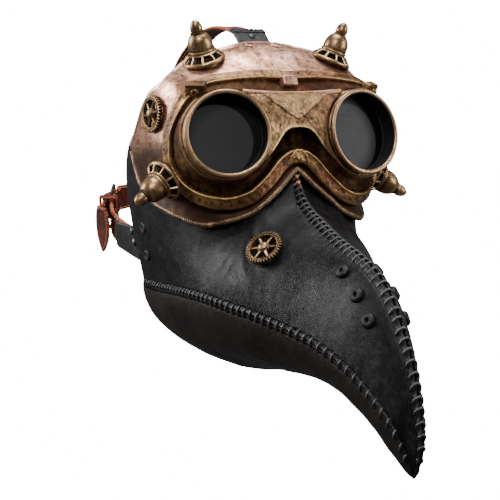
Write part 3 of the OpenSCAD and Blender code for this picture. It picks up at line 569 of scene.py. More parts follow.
def lathe_geo(prof, steps=64):
    """Profile of (radius, height) points turned about Z; radius 0 ends close to a point."""
    prof = np.asarray(prof, float)
    a = 2 * math.pi * np.arange(steps) / steps
    V = np.stack([prof[:, None, 0] * np.cos(a), prof[:, None, 0] * np.sin(a), np.repeat(prof[:, None, 1],
        steps, 1)], -1)
    return V.reshape(-1, 3), ring_faces(len(prof), steps)[:, [0, 3, 2, 1]].tolist()


def weld(ob, dist=1e-6):
    bm = bmesh.new()
    bm.from_mesh(ob.data)
    bmesh.ops.remove_doubles(bm, verts=bm.verts, dist=dist)
    bmesh.ops.recalc_face_normals(bm, faces=bm.faces)
    bm.to_mesh(ob.data)
    bm.free()


def axes(n):
    n = unit(n)
    u = unit(np.cross([0, 0, 1.0], n)) if abs(n[2]) < 0.99 else np.array([1.0, 0, 0])
    return u, np.cross(n, u), n


def place(V, p, n):
    u, v, w = axes(n)
    V = np.asarray(V, float)
    return np.asarray(p) + V[:, 0:1] * u + V[:, 1:2] * v + V[:, 2:3] * w


def smooth01(x):
    x = np.clip(x, 0, 1)
    return x * x * (3 - 2 * x)


# ---------------------------------------------------------------- goggle geometry shared by several pieces
EYE_C = np.array([-53.3, -116, 0])
_sp, _pi = math.radians(11.5), math.radians(11)
EYE_N = np.array([-math.sin(_sp) * math.cos(_pi), -math.cos(_sp) * math.cos(_pi), math.sin(_pi)])
EYE_U = unit(np.cross([0, 0, 1.0], EYE_N))
EYE_V = np.cross(EYE_N, EYE_U)
CUP_R, RIM_R, BORE_R, LENS_D, LENS_T = 29.3, 30.5, 27.5, 14.0, 2.5


def eye_radius(P):
    d = P - EYE_C
    h = d @ EYE_N
    q = d - h[..., None] * EYE_N
    return np.linalg.norm(q, axis=-1), h, q


def edge_pt(t, off):
    q = crc(LOOP, t)
    p, z = np.maximum(q[..., 0], 0.1), q[..., 1]
    return head(-p, z, visor_out(p, z) + off)


def lip_path(n, off):
    i = (np.arange(n) + 0.5) / n
    t = (11.0 - i * 18.6) / 23 % 1.0
    P = edge_pt(t, off)
    q = crc(LOOP, t)
    N = head_n(-np.maximum(q[:, 0], 0.1), q[:, 1])
    P[:, 0] = np.minimum(P[:, 0], -1.5)
    return np.concatenate([P, P[::-1] * MIR]), np.concatenate([N, N[::-1] * MIR])


LIP_P, LIP_N = lip_path(220, FRAME_GAP + FRAME_T + 0.8)


def near(P, Q, step=1):
    P = np.asarray(P).reshape(-1, 3)
    best = np.full(len(P), 1e9)
    for q in Q[::step]:
        best = np.minimum(best, ((P - q) ** 2).sum(1))
    return np.sqrt(best)


UP_BASE, UP_DIR = np.array([-49.5, -68.2, 48.3]), unit([-9.85, -5.17, 27.94])
LOW_BASE, LOW_DIR = np.array([-82.0, -74.6, -32.6]), unit([-0.827, -0.235, -0.511])
T_N = head_n(np.array(-56.0), np.array(12.0))
T_P = head(-56.0, 12.0, visor_out(56.0, 12.0) + FRAME_GAP)
C_N = panel_n(np.array(0.397), np.array(0.533))
C_P = panel(0.397, 0.533) + 1.5 * C_N

# ---------------------------------------------------------------- leather panels and throat
RIDGE_S, JAW_S = (0.336, 0.985), (0.012, 0.965)


def spacing_table(curve, rng, first, last, power):
    """Seam parameter against stitch number: the stitches open out towards the tip."""
    s = np.linspace(rng[0], rng[1], 600)
    L = along(cr(curve, s))
    gap = first + (last - first) * (L / L[-1]) ** power
    k = np.concatenate([[0], np.cumsum(np.diff(L) / gap[1:])])
    return s, k


RIDGE_T = spacing_table(UP, RIDGE_S, 4.4, 8.0, 0.7)
JAW_T = spacing_table(JAW, JAW_S, 3.3, 8.2, 0.8)
RIDGE_K, JAW_K = int(RIDGE_T[1][-1]), int(JAW_T[1][-1])


def arcs(fn, s, n=160):
    """For one s: v samples and the length along the surface from v = 0."""
    v = np.linspace(0, 1, n)
    return v, along(fn(np.full(n, s), v))


def seam_rows(total, n_edge, n_mid, width):
    w = min(width, total * 0.3)
    a = np.linspace(0, w, n_edge, endpoint=False)
    return np.concatenate([a, np.linspace(w, total - w, n_mid), total - a[::-1]])


def tip_k(s):
    return 1 - 0.7 * np.clip((s - 0.85) / 0.15, 0, 1)


def hem(d, phase, on, amp, wide):
    pinch = 0.62 + 0.38 * np.sin(math.pi * phase) ** 2
    x = d / wide
    h = amp * on * (np.exp(-np.abs(x / 0.78) ** 3.2) * pinch - 0.55 * np.exp(-(d / 0.45) ** 2))
    h -= 0.35 * on * np.exp(-((x - 1.15) / 0.16) ** 2)
    h += 0.1 * on * np.exp(-np.maximum(d - 1.3 * wide, 0) / 4) * np.cos(2 * math.pi * phase) * (x > 1.3)
    return h


def phase_of(s, table):
    return np.interp(s, table[0], table[1])


def on_seam(s, rng, soft=0.02):
    return smooth01((s - rng[0] + soft) / soft) * smooth01((rng[1] + 0.012 - s) / 0.012)


def face_panel(side):
    right = side == "right"
    S = np.linspace(0, 1, 430)
    rows = []
    for s in S:
        v, a = arcs(panel, s)
        d = seam_rows(a[-1], 14, 40, 8)
        rows.append((np.interp(d, a, v), d, a[-1] - d))
    V = np.array([r[0] for r in rows])
    dt, dj = np.array([r[1] for r in rows]), np.array([r[2] for r in rows])
    V = np.minimum(V, 0.997)
    SS = np.repeat(S[:, None], V.shape[1], 1)
    P, N = panel(SS, V), panel_n(SS, V)
    seed = 3 if right else 9
    fall = smooth01(SS / 0.02) * smooth01(dt / 6) * smooth01(dj / 6)
    wide = 4.0 + 0.9 * smooth01((SS - 0.42) / 0.2)
    h = hem(dt, phase_of(SS, RIDGE_T), on_seam(SS, RIDGE_S), (wide - 2.0) * tip_k(SS), wide)
    h += hem(dj, phase_of(SS, JAW_T), on_seam(SS, JAW_S), 1.5 * tip_k(SS), 3.0)
    h += 0.7 * fbm(P, 34, seed) * fall + 0.28 * fbm(P, 9, seed + 20) * fall
    crease = np.exp(-((SS - 0.35) / 0.09) ** 2) * smooth01((dt - 14) / 10) * smooth01((dj - 12) / 14)
    h += 0.3 * crease * np.sin(dt * 0.33 + 40 * SS + 3 * fbm(P, 40, seed + 5))
    edge = np.exp(-SS * 430 / 3.0)
    h -= 0.8 * edge * edge
    O = P + N * h[..., None]
    I = P - N * (thin(SS) - 0.15 * fbm(P, 14, seed + 7))[..., None]
    O[..., 0] = np.minimum(O[..., 0], -MID_GAP)
    I[..., 0] = np.minimum(I[..., 0], -MID_GAP)
    wear = 0.5 * on_seam(SS, RIDGE_S) * np.exp(-((dt - 1.8) / 1.2) ** 2) + 0.45 * on_seam(SS,
        JAW_S) * np.exp(-((dj - 1.4) / 1.0) ** 2)
    wear = wear * (0.6 + 0.6 * fbm(P, 8, 2)) + 0.5 * edge
    # Painted shade: darker in the seam grooves and at the foot of each hem. The inner face below gets an even
    # painted shade too.
    dark = 0.8 * np.exp(-(dt / 0.7) ** 2) + 0.8 * np.exp(-(dj / 0.7) ** 2) + 0.4 * np.exp(-((dj - 3.5)
        / 0.8) ** 2) + 0.4 * on_seam(SS, RIDGE_S) * np.exp(-((dt - 4.7) / 0.9) ** 2)
    G, F = sheet_geo(O, I)
    G = G if right else G * MIR
    z = np.zeros(I.shape[:2])
    add("face_panel_" + side, G, F, M_LEATHER, "mask",
        np.stack([wear, z]), np.stack([dark, z + 0.3]), sharp=50)


face_panel("right")
face_panel("left")


def throat():
    S = np.linspace(0, 1, 380)
    rows = []
    for s in S:
        v, a = arcs(gore, s)
        w = min(8, a[-1] * 0.4)
        d = np.concatenate([np.linspace(0, w, 14, endpoint=False), np.linspace(w, a[-1], 26)])
        rows.append((np.interp(d, a, v), d))
    V = np.maximum(np.array([r[0] for r in rows]), 0.003)
    dj = np.array([r[1] for r in rows])
    SS = np.repeat(S[:, None], V.shape[1], 1)
    P, N = gore(SS, V), gore_n(SS, V)
    h = hem(dj, phase_of(SS, JAW_T), on_seam(SS, JAW_S), 1.2 * tip_k(SS), 2.8)
    fall = smooth01(dj / 8)
    halves = []
    for m, seed in ((1, 31), (-1, 31)):
        Q = P * (m, 1, 1)
        hh = h + (0.5 * fbm(Q, 26, seed) + 0.25 * fbm(Q, 8, seed + 3)) * fall
        O = P + N * hh[..., None]
        I = P - N * thin(SS)[..., None]
        halves.append((O * (m, 1, 1), I * (m, 1, 1)))
    O = np.concatenate([halves[0][0], halves[1][0][:, -2::-1]], 1)
    I = np.concatenate([halves[0][1], halves[1][1][:, -2::-1]], 1)
    # Painted shade in the jaw seam groove and at the foot of the hem. The inner face gets an even painted
    # shade.
    dark = 0.8 * np.exp(-(dj / 0.7) ** 2) + 0.4 * np.exp(-((dj - 3.3) / 0.9) ** 2)
    wear = 0.4 * on_seam(SS, JAW_S) * np.exp(-((dj - 1.4) / 1.0) ** 2)
    full = lambda a: np.concatenate([a, a[:, -2::-1]], 1)
    G, F = sheet_geo(O, I)
    z = np.zeros(I.shape[:2])
    add("throat_gore", G, F, M_THROAT, "mask",
        np.stack([full(wear), z]), np.stack([full(dark), z + 0.3]), sharp=50)


throat()


# ---------------------------------------------------------------- whip stitches
def stitch(base, normal, r, rng, roll, wide, reach, n=19):
    tau = np.linspace(-1, 1, n)
    P, N = base(tau), normal(tau)
    d = np.abs(tau) * reach
    top = roll * np.exp(-np.abs(d / wide / 0.78) ** 3.2) * 0.66
    lift = top + 0.55 * r - (top * 0.2 + 2.2) * smooth01((np.abs(tau) - 0.8) / 0.2) * 0.7
    jit = 1 + 0.1 * (rng.rand() - 0.5)
    return tube_geo(P + N * (lift * jit)[:, None], N, r * (1 - 0.2 * np.abs(tau) ** 3), 9, squash=0.9)


def ridge_lacing():
    rng = np.random.RandomState(5)
    parts, idx = [], []
    for k in range(RIDGE_K):
        s0 = float(np.interp(k + 0.5 + 0.14 * (rng.rand() - 0.5), RIDGE_T[1], RIDGE_T[0]))
        kk = float(tip_k(s0))
        v, a = arcs(panel, s0)
        reach = min(5.8 * (0.92 + 0.16 * rng.rand()), a[-1] * 0.35) * (0.6 + 0.4 * kk)
        slant = 0.0018 * (1 + 0.4 * rng.rand())

        def base(tau):
            vv = np.interp(np.abs(tau) * reach, a, v)
            p = panel(np.full(len(tau), s0) + slant * tau, vv)
            return p * np.where(tau[:, None] > 0, MIR, 1.0)

        def normal(tau):
            vv = np.interp(np.abs(tau) * reach, a, v)
            n = panel_n(np.full(len(tau), s0), vv) * np.where(tau[:, None] > 0, MIR, 1.0)
            t = cr(UP, s0 + 0.002) - cr(UP, s0 - 0.002)
            o = unit([0, t[2], -t[1]])
            o = o if o[2] > -0.2 else -o
            w = smooth01(np.abs(tau) * 1.6)[:, None]
            return unit(n * w + o * (1 - w))
        wide = 4.0 + 0.9 * float(smooth01((s0 - 0.42) / 0.2))
        g = stitch(base, normal, (0.92 + 0.1 * (wide - 4.0)) * (0.6 + 0.4 * kk), rng, (wide - 2.0) * kk, wide,
            reach + wide - 4.0)
        parts.append(g)
        idx += [1 if k < 2 else 0] * len(g[1])
    V, F = join(parts)
    add("ridge_lacing", V, F, None, "mask", mats=[M_CORD, M_TRIM], index=idx)


def jaw_lacing(side):
    rng = np.random.RandomState(8 if side == "right" else 12)
    parts = []
    for k in range(JAW_K):
        s0 = float(np.interp(k + 0.5 + 0.14 * (rng.rand() - 0.5), JAW_T[1], JAW_T[0]))
        kk = float(tip_k(s0))
        vp, ap = arcs(panel, s0)
        vg, ag = arcs(gore, s0)
        reach = min(3.6 * (0.92 + 0.16 * rng.rand()), ap[-1] * 0.3, ag[-1] * 0.5) * (0.65 + 0.35 * kk)
        slant = 0.0022 * (1 + 0.4 * rng.rand())

        def pair(tau):
            a = np.abs(tau) * reach
            return np.interp(ap[-1] - a, ap, vp), np.interp(a, ag, vg), np.full(len(tau), s0) + slant * tau

        def base(tau):
            v1, v2, s = pair(tau)
            return np.where(tau[:, None] > 0, panel(s, v1), gore(s, v2))

        def normal(tau):
            v1, v2, s = pair(tau)
            n = np.where(tau[:, None] > 0, panel_n(s, v1), gore_n(s, v2))
            o = unit(panel_n(s, np.full(len(s), 0.99)) + gore_n(s, np.full(len(s), 0.02)))
            w = smooth01(np.abs(tau) * 1.6)[:, None]
            return unit(n * w + o * (1 - w))
        parts.append(stitch(base, normal, (0.62 + 0.25 * smooth01(s0 * 2.5)) * (0.65 + 0.35 * kk), rng,
            1.35 * kk, 2.9, reach))
    V, F = join(parts)
    V = V if side == "right" else V * MIR
    add("jaw_lacing_" + side, V, F, M_CORD, "mask")


ridge_lacing()
jaw_lacing("right")
jaw_lacing("left")


# ---------------------------------------------------------------- visor
def visor():
    nc, nr = 170, 92
    t = np.linspace(0, 1, nc)
    v = smooth01(np.linspace(0, 1, nr)) * 0.25 + np.linspace(0, 1, nr) * 0.75
    B, R = cr(BEAD, t), cr(RIM, t)
    phi = B[:, None, 0] * (1 - v) + R[:, None, 0] * v
    z = B[:, None, 1] * (1 - v) + R[:, None, 1] * v
    O, I = head(-phi, z, visor_out(phi, z)), head(-phi, z, visor_in(phi, z))
    rad, hgt, _ = eye_radius(O)
    inside = (rad < CUP_R + 0.5) & (hgt > -60)
    cell_all_in = inside[:-1, :-1] & inside[1:, :-1] & inside[:-1, 1:] & inside[1:, 1:]
    keep = ~cell_all_in
    for G in (O, I):
        rr, hh, qq = eye_radius(G)
        fix = inside | ((rr < CUP_R + 0.5) & (hh > -60))
        G[fix] = EYE_C + hh[fix][:, None] * EYE_N + unit(qq[fix]) * (CUP_R + 0.5)
    O = np.concatenate([O, O[-2::-1] * MIR])
    I = np.concatenate([I, I[-2::-1] * MIR])
    keep = np.concatenate([keep, keep[::-1]])
    N = unit(np.cross(np.gradient(O, axis=0), np.gradient(O, axis=1)))
    N *= np.sign((N * O * (1, 1, 0)).sum(-1, keepdims=True))
    length = np.linalg.norm(np.diff(O, axis=1), axis=-1)
    low = np.concatenate([np.zeros((len(O), 1)), np.cumsum(length, 1)], 1)
    high = low[:, -1:] - low
    hole = np.minimum(eye_radius(O)[0], eye_radius(O * MIR)[0])
    amp = smooth01((hole - CUP_R - 0.6) / 3)
    d = (0.30 * fbm(O, 20, 4) + 0.14 * noise3(O, 5, 8)) * amp
    d += 0.7 * np.exp(-((high - 2.2) / 1.3) ** 2) - 0.35 * np.exp(-((high - 4.8) / 0.7) ** 2)
    O = O + N * d[..., None]
    m, n = O.shape[:2]
    h = m * n
    fo = grid_faces(m, n).reshape(m - 1, n - 1, 4)
    F = [fo[keep], (fo[keep] + h)[:, ::-1]]
    k = np.pad(keep, 1)
    walls = []
    for i in range(m):
        for j in range(n - 1):
            if k[i, j + 1] != k[i + 1, j + 1]:
                a, b = i * n + j, i * n + j + 1
                walls.append([a, b, b + h, a + h] if k[i + 1, j + 1] else [b, a, a + h, b + h])
    for i in range(m - 1):
        for j in range(n):
            if k[i + 1, j] != k[i + 1, j + 1]:
                a, b = i * n + j, (i + 1) * n + j
                walls.append([b, a, a + h, b + h] if k[i + 1, j + 1] else [a, b, b + h, a + h])
    F = np.concatenate([*F, np.array(walls)])
    G = np.concatenate([O.reshape(-1, 3), I.reshape(-1, 3)])
    lip = near(O, LIP_P, 4).reshape(m, n)
    # Painted shade: darker along the goggle lip, at the bottom edge where the shell tucks under the bead, and
    # in rings round the spike flanges and temple gears. The inner face gets an even painted shade.
    dark = 0.75 * np.exp(-np.maximum(lip - 3.5, 0) / 2.2) + 0.5 * np.exp(-low / 3)
    for c, r in ((UP_BASE, 14), (LOW_BASE, 14), (T_P, 13)):
        for mm in (np.ones(3), MIR):
            dd = np.linalg.norm(O - c * mm, axis=-1)
            dark += 0.55 * np.exp(-np.abs(dd - r) / 2.0) * (dd < r + 12)
    wear = 0.8 * np.exp(-((high - 2.2) / 1.4) ** 2)
    zz = O[..., 2]
    # Darker towards the bottom of the shell and along the goggle lip. Part of this is the shell's dark paint,
    # and part is painted shade under the goggles.
    dark_paint_and_shade = smooth01((6 - zz) / 26 + 0.2 * fbm(O, 16, 6)) * (0.95 + 0.04 * smooth01((76 - np.abs(O[..., 0]))
        / 14))
    dark_paint_and_shade = np.maximum(dark_paint_and_shade, 0.65 * np.exp(-np.maximum(lip - 4, 0) / 5) * (zz < 40))
    z0 = np.zeros((m, n))
    ob = add("visor_shell", G, F, M_COPPER, "mask",
        np.stack([wear, z0]), np.stack([dark, z0 + 0.4]), sharp=45, dark_paint_and_shade=np.stack([dark_paint_and_shade, z0 + 0.7]))
    bm = bmesh.new()
    bm.from_mesh(ob.data)
    bmesh.ops.delete(bm, geom=[x for x in bm.verts if not x.link_faces], context="VERTS")
    bm.to_mesh(ob.data)
    bm.free()


visor()


def rope_geo(P, N, r, lobes=3, pitch=7.0, k=18, depth=0.24):
    U, B = along_axes(P, N)
    L = along(P)
    a = 2 * math.pi * np.arange(k) / k
    lob = np.abs(np.cos(lobes / 2 * (a[None] - 2 * math.pi * L[:, None] / (pitch * lobes))))
    rad = np.broadcast_to(np.asarray(r, float), (len(P),))[:, None] * (1 - depth + depth * lob)
    R = P[:, None] + rad[..., None] * (np.cos(a)[None, :, None] * U[:, None] + np.sin(a)[None, :, None]
        * B[:, None])
    return R.reshape(-1, 3), capped(len(P), k), lob.ravel()


def bead():
    t = np.linspace(0, 1, 520)
    q = cr(BEAD, t)
    P = head(-q[:, 0], q[:, 1] - 0.6, visor_out(q[:, 0], q[:, 1]) - 0.8)
    N = head_n(-q[:, 0], q[:, 1])
    P = np.concatenate([P, P[-2::-1] * MIR])
    N = np.concatenate([N, N[-2::-1] * MIR])
    P = P + N * (0.25 * fbm(P, 10, 3))[:, None]
    V, F, lob = rope_geo(P, N, 1.95 + 0.3 * fbm(P, 5, 8), 3, 1.7, 14, 0.15)
    V = V + 0.16 * noise3(V, 1.6, 4)[:, None] * unit(V)
    crest = 0.5 + 0.5 * fbm(V, 14, 12)
    # The dark mark is painted shade between the rope strands.
    add("visor_edge_bead", V, F, M_BEAD, "mask", smooth01((lob - 0.6) * 3) * crest,
        0.7 * smooth01((0.4 - lob) * 3))


bead()


# ---------------------------------------------------------------- goggles
def closed_profile(Q, n):
    Q = np.asarray(Q, float)
    return crc(Q, np.arange(n) / n)


def goggle_lip():
    P, N = LIP_P, LIP_N
    U, B = along_axes(P, N, True)
    eye = np.where(P[:, 0:1] < 0, EYE_C[None], EYE_C[None] * MIR)
    B *= np.sign((B * (eye - P)).sum(-1, keepdims=True))
    prof = closed_profile([(-3.6, -3.6), (-3.9, -1.2), (-3.3, 1.4), (-1.6, 2.3), (1.6, 2.3), (3.6, 2.5),
        (4.8, 3.0), (5.6, 2.4),
        (5.5, 0.4), (5.1, -2.6), (3.0, -3.8), (0, -4.0)], 40)
    R = P[:, None] + prof[None, :, 0:1] * B[:, None] + prof[None, :, 1:2] * U[:, None]
    top = smooth01((prof[:, 1] - 0.5) / 1.5)[None]
    R += U[:, None] * (0.28 * fbm(R, 7, 4) * top + 0.14 * noise3(R, 2.2, 6) * top)[..., None]
    m, k = R.shape[:2]
    F = ring_faces(m, k, True)
    wear = np.exp(-((prof[None, :, 0] - 5.0) / 0.8) ** 2) * top + 0.5 * np.exp(-((prof[None, :, 0] + 2.6)
        / 0.9) ** 2) * top
    wear = wear * (0.55 + 0.5 * fbm(R, 9, 12))
    # Painted shade on the side of the lip that faces the visor.
    dark = np.broadcast_to(smooth01((0.2 - prof[:, 1]) / 2.5)[None], (m, k))
    add("goggle_lip", R.reshape(-1, 3), F, M_FRAME, "mask", wear, dark)


goggle_lip()


def goggle_frame(side):
    n, k = 300, 34
    t = np.arange(n) / n
    r = np.linspace(0, 1, k)
    edge0 = edge_pt(t, 0)
    d = edge0 - EYE_C
    a = np.arctan2(d @ EYE_V, d @ EYE_U)
    ring = np.cos(a)[:, None] * EYE_U + np.sin(a)[:, None] * EYE_V

    def surface(up):
        c = EYE_C - (10 - up) * EYE_N + (CUP_R + 0.2) * ring
        e = edge_pt(t, FRAME_GAP + up)
        rr = r[None, :, None]
        lift = smooth01((e[:, None, 2:3] - 19) / 10)
        chan = (1.3 * lift - 3.2 * (1 - lift)) * smooth01((rr - 0.10) / 0.14) * smooth01((0.86 - rr)
            / 0.2) + np.exp(-((rr - 0.045) / 0.05) ** 2)
        return c[:, None] * (1 - rr) + e[:, None] * rr + chan * EYE_N
    O, I = surface(FRAME_T), surface(0)
    O[..., 0] = np.minimum(O[..., 0], -MID_GAP)
    I[..., 0] = np.minimum(I[..., 0], -MID_GAP)
    O += EYE_N * (0.25 * fbm(O, 8, 5) * np.sin(math.pi * r)[None])[..., None]
    G, F = sheet_geo(O, I, True)
    G = G if side == "right" else G * MIR
    rr = np.broadcast_to(r[None], (n, k))
    # Painted shade: darker over the sunk channel between cup and lip and along a groove near the cup. The
    # inner face gets an even painted shade.
    dark = 0.7 * smooth01((rr - 0.10) / 0.12) * smooth01((1.0 - rr) / 0.12) + 0.3 * np.exp(-((rr - 0.14)
        / 0.04) ** 2)
    # Painted shade in the recess under the bridge plate, between the cups.
    under_bridge_shade = smooth01((27 + O[..., 0]) / 10) * smooth01((6 - O[..., 2]) / 6)
    dark = np.maximum(dark, under_bridge_shade)
    wear = 0.7 * np.exp(-((rr - 0.05) / 0.03) ** 2)
    add("goggle_frame_" + side, G, F, M_FRAME, "mask",
        np.stack([wear, wear * 0]), np.stack([dark, wear * 0 + 0.5]), sharp=55)


goggle_frame("right")
goggle_frame("left")


def plate():
    nu, nv = 150, 100
    U, W = np.meshgrid(np.linspace(-1, 1, nu), np.linspace(0, 1, nv), indexing="ij")
    zb = 3.5 - 23 * np.abs(U) ** 3
    Z = zb * (1 - W) + 26 * W
    xm = 53.3 - 1.6 - np.sqrt(np.maximum(RIM_R ** 2 - Z * Z, 0)) - 0.4
    X = U * np.maximum(xm, 4)
    O, I = (np.stack([X, front_y(X, Z, PLATE_OFF + up), Z], -1) for up in (FRAME_T, 0))
    vline = 8.0 + 0.72 * np.abs(X) + 1.6 * fbm(O, 7, 2)
    below = smooth01((vline - Z) / 1.6 + 0.5)
    relief = 0.7 - 0.9 * below * np.exp(-np.maximum(vline - Z, 0) / 16)
    crack = np.exp(-((Z - vline) / 0.4) ** 2) * smooth01((26 - Z) / 3) * smooth01(0.6 + 1.4 * fbm(O, 10, 21))
    vein = np.exp(-(fbm(O, 9, 33) / 0.045) ** 2) * smooth01(0.5 + fbm(O, 12, 8))
    crack = np.maximum(crack, 0.7 * vein)
    relief = relief - 0.5 * crack
    stip = 0.22 * noise3(O, 1.7, 3) + 0.3 * fbm(O, 8, 9)
    low = (Z - zb)
    relief += 0.8 * np.exp(-(low / 1.6) ** 2)
    O[..., 1] -= relief + stip
    G, F = sheet_geo(O, I)
    # Painted shade in the cracks and veins, and just below the raised upper field where its step shades the
    # sunk lower field. The inner face gets an even painted shade.
    dark = 0.8 * crack + 0.25 * below * np.exp(-np.maximum(vline - Z, 0) / 5)
    wear = 0.55 * np.exp(-(low / 1.6) ** 2) + 0.25 * (1 - below)
    add("bridge_plate", G, F, M_GOLD, "mask", np.stack([wear, wear * 0]),
        np.stack([dark, wear * 0 + 0.8]), sharp=50)


plate()


def brow():
    u = np.linspace(-1, 1, 160)
    x, z = 38 * u, 25.6 + 1.8 * u * u
    P = np.stack([x, front_y(x, z, 9.8), z], -1)
    V, F = tube_geo(P, np.tile([0, -1.0, 0], (160, 1)), 2.2 + 0.15 * fbm(P, 9, 3), 16)
    V = V + 0.12 * noise3(V, 2.4, 5)[:, None] * unit(V)
    # The roll is lighter along its top.
    add("brow_roll", V, F, M_ROLL, "mask", wear=0.5 * smooth01((V[:, 2] - 26.6) / 1.5))


brow()


def block_geo(size, bevel, seg=3, taper=0.0):
    bm = bmesh.new()
    bmesh.ops.create_cube(bm, size=1)
    for v in bm.verts:
        k = 1 - taper * (v.co.y < 0)
        v.co = Vector((v.co.x * size[0] * k, v.co.y * size[1], v.co.z * size[2] * k))
    bmesh.ops.bevel(bm, geom=bm.edges[:], offset=bevel, segments=seg, profile=0.6, affect="EDGES",
        clamp_overlap=True)
    bmesh.ops.subdivide_edges(bm, edges=[e for e in bm.edges if e.calc_length() > 3], cuts=3,
        use_grid_fill=True)
    V = np.array([v.co[:] for v in bm.verts])
    F = [[v.index for v in f.verts] for f in bm.faces]
    bm.verts.index_update()
    bm.free()
    return V, F


def turn(V, rx, ry, rz, p):
    M = Matrix.Rotation(math.radians(rz), 3, "Z") @ Matrix.Rotation(math.radians(ry), 3,
        "Y") @ Matrix.Rotation(math.radians(rx), 3, "X")
    return V @ np.array(M).T + np.asarray(p, float)


def blocks():
    V, F = block_geo((13, 9, 9), 1.3, 3, 0.16)
    V = V + 0.2 * noise3(V, 3, 2)[:, None] * unit(V)
    w = smooth01((np.abs(V).max(1) - 4) / 1.2) * 0.4
    add("brow_block", turn(V, -22, 0, 0, (0, -99.5, 34)), F, M_TRIM, "mask", wear=w)
    V, F = block_geo((15, 7, 11), 1.2, 3, 0.08)
    V = V + 0.2 * noise3(V, 3, 5)[:, None] * unit(V)
    head_v, head_f = lathe_geo([(0, 0.2), (0.9, 0.1), (1.2, 0.5), (2.0, 0.3), (2.6, -0.4), (2.6, -2.6)], 24)
    head_v = head_v[:, [0, 2, 1]] * (1, -1, 1) + (0, -5.6, 0)
    V, F = join([(V, F), (head_v, head_f)])
    V = turn(turn(V, 22, 0, 0, (0, 0, 0)), 0, 0, -36, (-67.6, -94.2, 28.6))
    V2, F2 = join([(V, F), (V * MIR, F)])
    add("frame_clamps", V2, F2, M_FRAME, "mask")


blocks()


def lathe_at(name, prof, p, n, mat, steps=96, mats=None, band=None, mirror=False, wear=None, dark=None,
        sharp=40):
    V, F = lathe_geo(prof, steps)
    V = place(V, p, n)
    if mirror:
        V = V * MIR
    idx = None
    if band is not None:
        idx = np.repeat([band(i) for i in range(len(prof) - 1)], steps)
    w = None if wear is None else np.repeat(wear, steps)
    d = None if dark is None else np.repeat(dark, steps)
    weld(add(name, V, F, mat, "mask", w, d, sharp, mats, idx))


def arc_pts(cx, cy, r, a0, a1, n):
    a = np.radians(np.linspace(a0, a1, n))
    return [(cx + r * math.cos(x), cy + r * math.sin(x)) for x in a]


def eyes():
    for side, mir in (("right", False), ("left", True)):
        prof = [(25.6, -30), (28.9, -30), (29.3, -29.6), (29.3, -12.4), (30.4, -12.0), (31.6, -11.4),
            (32.0, -10.4), (31.7, -9.4), (30.6, -8.8),
            (29.5, -8.5), (29.3, -8.0), (29.3, -5.4), (29.9, -5.0), (30.0, -4.2), (29.6, -3.8), (29.35, -3.3)]
        prof += arc_pts(28.8, -1.6, 1.7, -35, 190, 15)
        n_out = len(prof)
        prof += [(27.5, -2.6), (27.45, -8), (27.45, -13.9), (27.45, -LENS_D - LENS_T - 0.1),
            (25.55, -LENS_D - LENS_T - 0.15), (25.5, -29.6), (25.6, -30)]
        w = np.array([0.0] * len(prof))
        for i, q in enumerate(prof[:n_out]):
            w[i] = 0.35 if q[1] > -1.0 else (0.25 if 31.5 < q[0] else 0)
        # Painted shade in the grooves of the cup's outer profile.
        d = np.array([0.7 if (abs(q[1] + 8.3) < 0.6 or abs(q[1] + 12.3) < 0.5 or abs(q[1] + 3.4) < 0.3)
            and i < n_out else 0 for i, q in enumerate(prof)])
        lathe_at("eyecup_" + side, prof, EYE_C, EYE_N, None, mats=[M_CUP, M_BLACK],
            band=lambda i: 0 if i < n_out - 3 else 1, mirror=mir, wear=w, dark=d, steps=128)
        r = BORE_R - 0.15
        prof = [(0.01, 0)] + [(q, 0) for q in np.linspace(1, r - 0.3, 50)] + [(r, -0.3), (r, -LENS_T + 0.2),
            (r - 0.2, -LENS_T), (16, -LENS_T),
            (0.01, -LENS_T)]
        V, F = lathe_geo(prof, 128)
        V = place(V, EYE_C - LENS_D * EYE_N, EYE_N) * (MIR if mir else 1)
        # The lens gets a painted shadow: a dark crescent up and towards the wearer's left on both lenses,
        # where the cup rim's shadow would fall. It is painted into the glass, so it shows from every side.
        mid = (EYE_C - LENS_D * EYE_N) * (MIR if mir else 1) + np.array([-5.0, 0, -3.4])
        far = np.linalg.norm(V - mid, axis=-1)
        weld(add("lens_" + side, V, F, M_LENS, "mask", dark=smooth01((far - 25.2) / 0.35),
            sharp=30))
        prof = [(r - 1.1, 0.1), (r, 0.1), (r, 1.2), (r - 0.4, 1.6), (r - 0.8, 1.4), (r - 1.1, 0.1)]
        lathe_at("lens_retainer_" + side, prof, EYE_C - LENS_D * EYE_N, EYE_N, M_BLACK,
            mirror=mir)


eyes()


